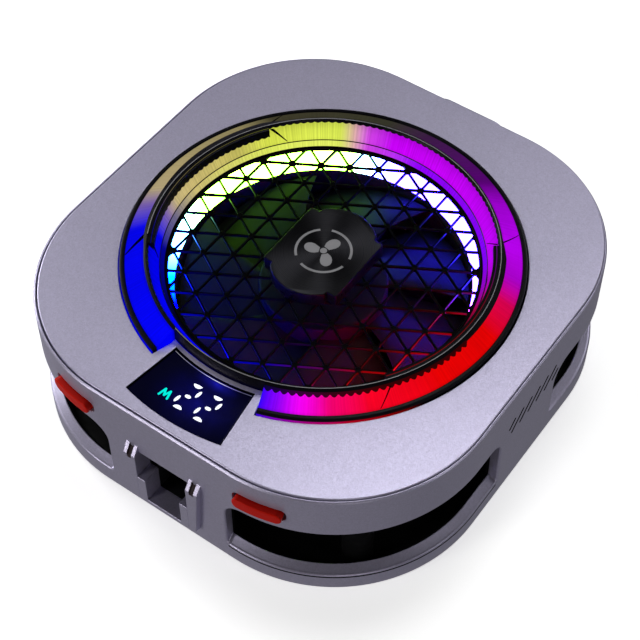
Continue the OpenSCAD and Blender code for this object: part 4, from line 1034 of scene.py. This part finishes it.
def breadth(loop):
    """Twice the area of a loop over its length."""
    p = np.array(loop)
    q = np.roll(p, -1, 0)
    return float(abs((p[:, 0] * q[:, 1] - q[:, 0] * p[:, 1]).sum()) / np.linalg.norm(q - p, axis=1).sum())


def drop_short(loop, least):
    out = [loop[0]]
    for p in loop[1:]:
        if np.linalg.norm(p - out[-1]) > least:
            out.append(p)
    if len(out) > 1 and np.linalg.norm(out[0] - out[-1]) <= least:
        out.pop()
    return out


def soft_corners(loop, radius):
    """Rounds the sharp corners of a loop, as far as its edges allow."""
    n = len(loop)
    radii = []
    for i in range(n):
        a, b, c = loop[i - 1], loop[i], loop[(i + 1) % n]
        d1, d2 = (a - b), (c - b)
        l1, l2 = np.linalg.norm(d1), np.linalg.norm(d2)
        half = math.acos(max(-1, min(1, float(d1 @ d2) / l1 / l2))) / 2
        radii.append(0 if half > math.radians(75) else min(radius, 0.4 * min(l1, l2) * math.tan(half)))
    return rounded(loop, radii, 3)


def build_badge():
    half_w, side, half_l, end_r, step = 6.85, 6.4, 9.3, 6.8, 1.7
    end_w = half_w - step
    mid = half_l - end_r
    reach = math.degrees(math.acos(end_w / end_r))
    top = [np.array([0, mid]) + p for p in arc(end_r, reach, 180 - reach, 31)]
    low = [np.array([0, -mid]) + p for p in arc(end_r, 180 + reach, 360 - reach, 31)]
    right = [(half_w, -side), (half_w, side), (end_w, side)]
    left = [(-end_w, side), (-half_w, side), (-half_w, -side), (-end_w, -side)]
    loop = [np.array(p, float) for p in [*right, *top, *left, *low, (end_w, -side)]]
    loop = soft_corners(drop_short(loop, 0.05), 0.45)
    sh = Shell()
    first, last = sh.edge(loop, 0.22, 2.3, -1, 4, mat=1)
    sh.skin(first, mat=0)
    sh.skin(last, mat=1)
    make_flat("hub_plate", sh, Z_BADGE, [SPUN, GLOSS], slot="spun_black", replaces=("hub_badge",), sharp=25)


def build_fan():
    """Hub with broad swept blades: tilted plates between two arcs, slightly cambered."""
    count, hub, tip, z0, z1, thick = 7, 10.2, 22.8, 12.5, 17.8, 0.8
    angle, sweep = math.radians(52), 26.5
    lag = math.asin(tip / (2 * sweep))
    rise = (z1 - z0 - thick) / (2 * tip * math.sin(angle / 2))
    verts, faces = [], []
    nu, nv = 12, 16
    for i in range(count):
        base = 2 * math.pi / count * i
        for top in (1, 0):
            for a in range(nu + 1):
                r = hub - 0.6 + (tip - hub + 0.6) * a / nu
                for b in range(nv + 1):
                    v = b / nv - 0.5
                    turn = lag - math.asin(r / (2 * sweep)) + v * angle
                    fade = math.sqrt(max(0.0, 1 - (2 * abs(v)) ** 10))
                    z = (z0 + z1) / 2 - rise * r * math.sin(turn) + 0.15 * (1 - 4 * v * v)
                    z += (top - 0.5) * thick * (0.3 + 0.7 * fade)
                    verts.append((r * math.cos(base + turn), r * math.sin(base + turn), z))
        side = (nu + 1) * (nv + 1)
        start = i * 2 * side

        def at(layer, a, b):
            return start + layer * side + a * (nv + 1) + b

        for layer in (0, 1):
            faces += [(at(layer, a, b), at(layer, a + 1, b), at(layer, a + 1, b + 1), at(layer, a, b + 1))
                      for a in range(nu) for b in range(nv)]
        border = [(a, 0) for a in range(nu)] + [(nu, b) for b in range(nv)]
        border += [(a, nv) for a in range(nu, 0, -1)] + [(0, b) for b in range(nv, 0, -1)]
        for p, q in zip(border, border[1:] + border[:1]):
            faces.append((at(0, *p), at(0, *q), at(1, *q), at(1, *p)))
    n = len(verts)
    bore = 1.03
    hub_profile = [(hub - 1, z0), (hub, z0), (hub, 17.5), (hub - 0.15, 17.85), (hub - 0.5, 18.0),
                   (bore, 18.0), (bore, 17.0), (hub - 1, 17.0)]
    hv, hf, _ = revolve(hub_profile, 0, 360, 96)
    verts += hv
    faces += [tuple(i + n for i in f) for f in hf]
    make("fan_wheel", verts, faces, [BLADE], body="fan", slot="blade", replaces=("fan_rotor",), sharp=40)


# ---- Display figures and hub sign ----------------------------------------------------------------

def flat_piece(name, loops, z0, z1, mats, slot):
    """Flat shapes of one thickness."""
    sh = Shell()
    for loop in loops:
        sh.plate([np.array(p, float) for p in loop], 0.0, z1 - z0)
    make_flat(name, sh, z1, mats, slot=slot)


def segment(cx, cy, length, low, high, bend, turn):
    """One bar of a figure: a leaf between two curves, with pointed ends where bend is large."""
    c, s = math.cos(math.radians(turn)), math.sin(math.radians(turn))
    steps = [math.pi * k / 12 for k in range(12)]
    shift = (low - high) / 2
    shape = [(-length / 2 * math.cos(t), shift - low * math.sin(t) ** bend) for t in steps]
    shape += [(length / 2 * math.cos(t), shift + high * math.sin(t) ** bend) for t in steps]
    return [(cx + x * c - y * s, cy + x * s + y * c) for x, y in shape]


def bar(a, b, width):
    """A straight stroke with round ends."""
    a, b = np.array(a, float), np.array(b, float)
    turn = math.degrees(math.atan2(b[1] - a[1], b[0] - a[0]))
    r = width / 2
    far = [b + p for p in arc(r, turn - 90, turn + 90, 9)]
    return far + [a + p for p in arc(r, turn + 90, turn + 270, 9)]


def build_figures():
    low, high = Z_PANE - 0.03, Z_PANE + 0.02
    loops = []
    for x in (-0.45, 3.2):
        loops += [segment(x + 0.08, -30.78, 1.45, 0.1, 0.52, 1.3, 185),
                  segment(x - 0.04, -35.2, 1.45, 0.1, 0.52, 1.3, 5),
                  segment(x + 0.02, -32.98, 0.95, 0.29, 0.29, 0.9, 5),
                  segment(x + 1.06, -31.83, 1.35, 0.25, 0.25, 1.2, 81),
                  segment(x - 1.06, -34.1, 1.35, 0.25, 0.25, 1.2, 261)]
    flat_piece("figures_white", loops, low, high, [WHITE], "light")
    x, y, w, h = -3.42, -34.36, 1.5, 1.32
    path = [(0.5, -0.5), (0.3, 0.5), (0.0, -0.3), (-0.3, 0.5), (-0.5, -0.5)]
    path = [(x + a * w, y + b * h) for a, b in path]
    for k, (a, b) in enumerate(zip(path, path[1:])):
        flat_piece(f"figure_cyan_{k}", [bar(a, b, 0.34)], low, high + 0.002 * k, [CYAN], "light")


def build_sign():
    """A plain fan sign on the hub: three blades round a dot, inside a broken circle."""
    loops = [[(0.55 * math.cos(a), 0.55 * math.sin(a)) for a in np.linspace(0, 2 * math.pi, 25)[:-1]]]
    for k in range(3):
        t = math.radians(120 * k + 35)
        blade = []
        for f in np.linspace(0, 1, 17):
            a = t + 0.15 + f * 1.25
            r = 0.85 + 2.3 * math.sin(math.pi * f ** 0.8) ** 0.7
            blade.append((r * math.cos(a), r * math.sin(a)))
        loops.append(blade)
        loops.append(arc(4.5, 120 * k + 12, 120 * k + 108, 30) + arc(4.1, 120 * k + 108, 120 * k + 12, 30))
    flat_piece("hub_sign", loops, Z_BADGE - 0.02, Z_BADGE + 0.02, [INK], "spun_black")


build_wall()
build_cover()
build_window()
for hand in (-1, 1):
    build_button(hand)
build_clip()
build_boss()
build_outer_light()
build_inner_light()
build_spine()
build_caps()
build_joints()
build_bezel()
build_glow_wall()
build_grille()
build_badge()
build_fan()
build_figures()
build_sign()

# ---- Materials of the solids that stay -----------------------------------------------------------

SLOT_MATERIALS = {
    "silver_paint": PAINT, "gloss_black": GLOSS, "spun_black": SPUN, "inner_plastic": INNER,
    "diffuser": LIT_IN, "light": GLOW, "blade": BLADE, "red_button": RED, "window": WINDOW,
}
for name, *look in (
        ("silicone", (0.035, 0.035, 0.038), (0.06, 0.06, 0.064), 0.75, 1500.0, 0.03),
        ("foam", (0.008, 0.008, 0.009), (0.018, 0.018, 0.02), 0.9, 2500.0, 0.08),
        ("lead", (0.10, 0.006, 0.006), (0.16, 0.01, 0.01), 0.5, 900.0, 0.02),
        ("bare_aluminium", (0.60, 0.60, 0.62), (0.74, 0.74, 0.76), 0.35, 1600.0, 0.01, 0.0, 1.0),
        ("dark_aluminium", (0.003, 0.003, 0.004), (0.008, 0.008, 0.009), 0.5, 1600.0, 0.01, 0.0, 0.6),
        ("steel", (0.45, 0.45, 0.46), (0.58, 0.58, 0.6), 0.3, 1800.0, 0.01, 0.0, 1.0),
        ("magnet", (0.16, 0.16, 0.17), (0.24, 0.24, 0.25), 0.4, 1800.0, 0.01, 0.0, 1.0),
        ("sleeve", (0.55, 0.36, 0.12), (0.68, 0.46, 0.18), 0.35, 1800.0, 0.01, 0.0, 1.0),
        ("winding", (0.42, 0.15, 0.05), (0.58, 0.24, 0.09), 0.35, 3500.0, 0.05, 0.0, 1.0),
        ("ceramic", (0.72, 0.72, 0.70), (0.84, 0.84, 0.82), 0.6, 1500.0, 0.02),
        ("board", (0.006, 0.05, 0.02), (0.012, 0.085, 0.035), 0.4, 1200.0, 0.02, 0.3),
        ("white_board", (0.66, 0.66, 0.66), (0.8, 0.8, 0.8), 0.45, 1200.0, 0.02)):
    SLOT_MATERIALS[name] = plastic(name, *look)
NODE_MATERIALS = {"clip_pocket": POCKET, "base_cover": INNER, "chassis": DUCT_SHELL}
for part in frame["record"]["subparts"]:
    ob = frame["nodes"][part["node"]]
    finish = NODE_MATERIALS.get(part["node"], SLOT_MATERIALS[part["material_slot"]])
    ob.data.materials.clear()
    ob.data.materials.append(finish)

# ---- Stage, light and camera ---------------------------------------------------------------------

floor_mesh = bpy.data.meshes.new("floor")
floor_mesh.from_pydata([(-3, -3, 0), (3, -3, 0), (3, 3, 0), (-3, 3, 0)], [], [(0, 1, 2, 3)])
pale = plastic("floor", (0.90, 0.90, 0.90), (0.93, 0.93, 0.93), 0.9, 300.0, 0.01)
shine = pale.node_tree.nodes["Principled BSDF"].inputs
shine["Emission Color"].default_value, shine["Emission Strength"].default_value = (1.0, 1.0, 1.0, 1.0), 0.62
floor_mesh.materials.append(pale)
floor = add_object("floor", floor_mesh)
# The floor is seen, but the object is lit by the lamps and the studio's own tones
floor.visible_diffuse = floor.visible_glossy = floor.visible_shadow = False

world = bpy.data.worlds.new("studio")
bpy.context.scene.world = world
world.use_nodes = True
sky = Nodes(world.node_tree)
# Pale below the horizon and dark above it
way = sky.add("ShaderNodeTexCoord").outputs["Generated"]
down = sky.vector("DOT_PRODUCT", way, (0.0, 0.0, -1.0), out=1)
span = sky.node("ShaderNodeMapRange", {0: down, 1: -1.0})
tones = sky.ramp(span, [(place, (tone, tone, tone * 1.03))
                        for place, tone in ((0.0, 0.0), (0.5, 0.0), (0.62, 0.19), (1.0, 0.19))])
sky.put(sky.tree.nodes["Background"].inputs[0], tones)

AIM = Vector((0.0, 0.0, 0.015))


def aimed(name, data, place):
    """An object at a place, that looks at the middle of the part."""
    ob = add_object(name, data)
    ob.location = place
    ob.rotation_mode = "QUATERNION"
    ob.rotation_quaternion = (AIM - ob.location).to_track_quat("-Z", "Y")
    return ob


# Lamps: place, size, power. The fills are a little warm
for name, place, size, power in (
        ("key", (-0.067, 0.151, 0.592), 0.20, 0.58),
        ("key_back", (-0.042, 0.240, 0.563), 0.20, 0.36),
        ("fill", (-0.261, -0.614, 0.145), 0.24, 1.10),
        ("fill_right", (0.455, -0.455, 0.105), 0.24, 0.36),
        ("front_panel", (-0.244, -0.523, 0.375), 0.14, 0.35),
        ("left_panel", (-0.500, 0.088, 0.296), 0.24, 1.35),
        ("left_edge", (-0.571, -0.070, 0.086), 0.20, 0.80),
        ("back_panel", (0.053, 0.506, 0.333), 0.20, 0.38),
        ("back_low", (-0.060, 0.568, 0.200), 0.20, 0.20),
        ("right_panel", (0.211, 0.365, 0.369), 0.20, 0.12),
        ("right_edge", (0.470, 0.305, 0.230), 0.12, 0.12),
        ("right_low", (0.523, 0.046, 0.306), 0.13, 0.22)):
    data = bpy.data.lights.new(name, "AREA")
    data.shape, data.size, data.energy = "DISK", size, power
    data.color = (1.0, 0.96, 0.93) if name.startswith("fill") else (1.0, 1.0, 1.0)
    aimed(name, data, place)

cam_data = bpy.data.cameras.new("camera")
cam_data.lens, cam_data.sensor_width = 90.4, 36.0
cam_data.shift_x, cam_data.shift_y = -0.0055, -0.0447
cam_data.clip_start = 0.01
cam = aimed("camera", cam_data, (0.09331, -0.13099, 0.21222))
bpy.context.scene.camera = cam
bpy.context.scene.view_settings.view_transform = "Standard"
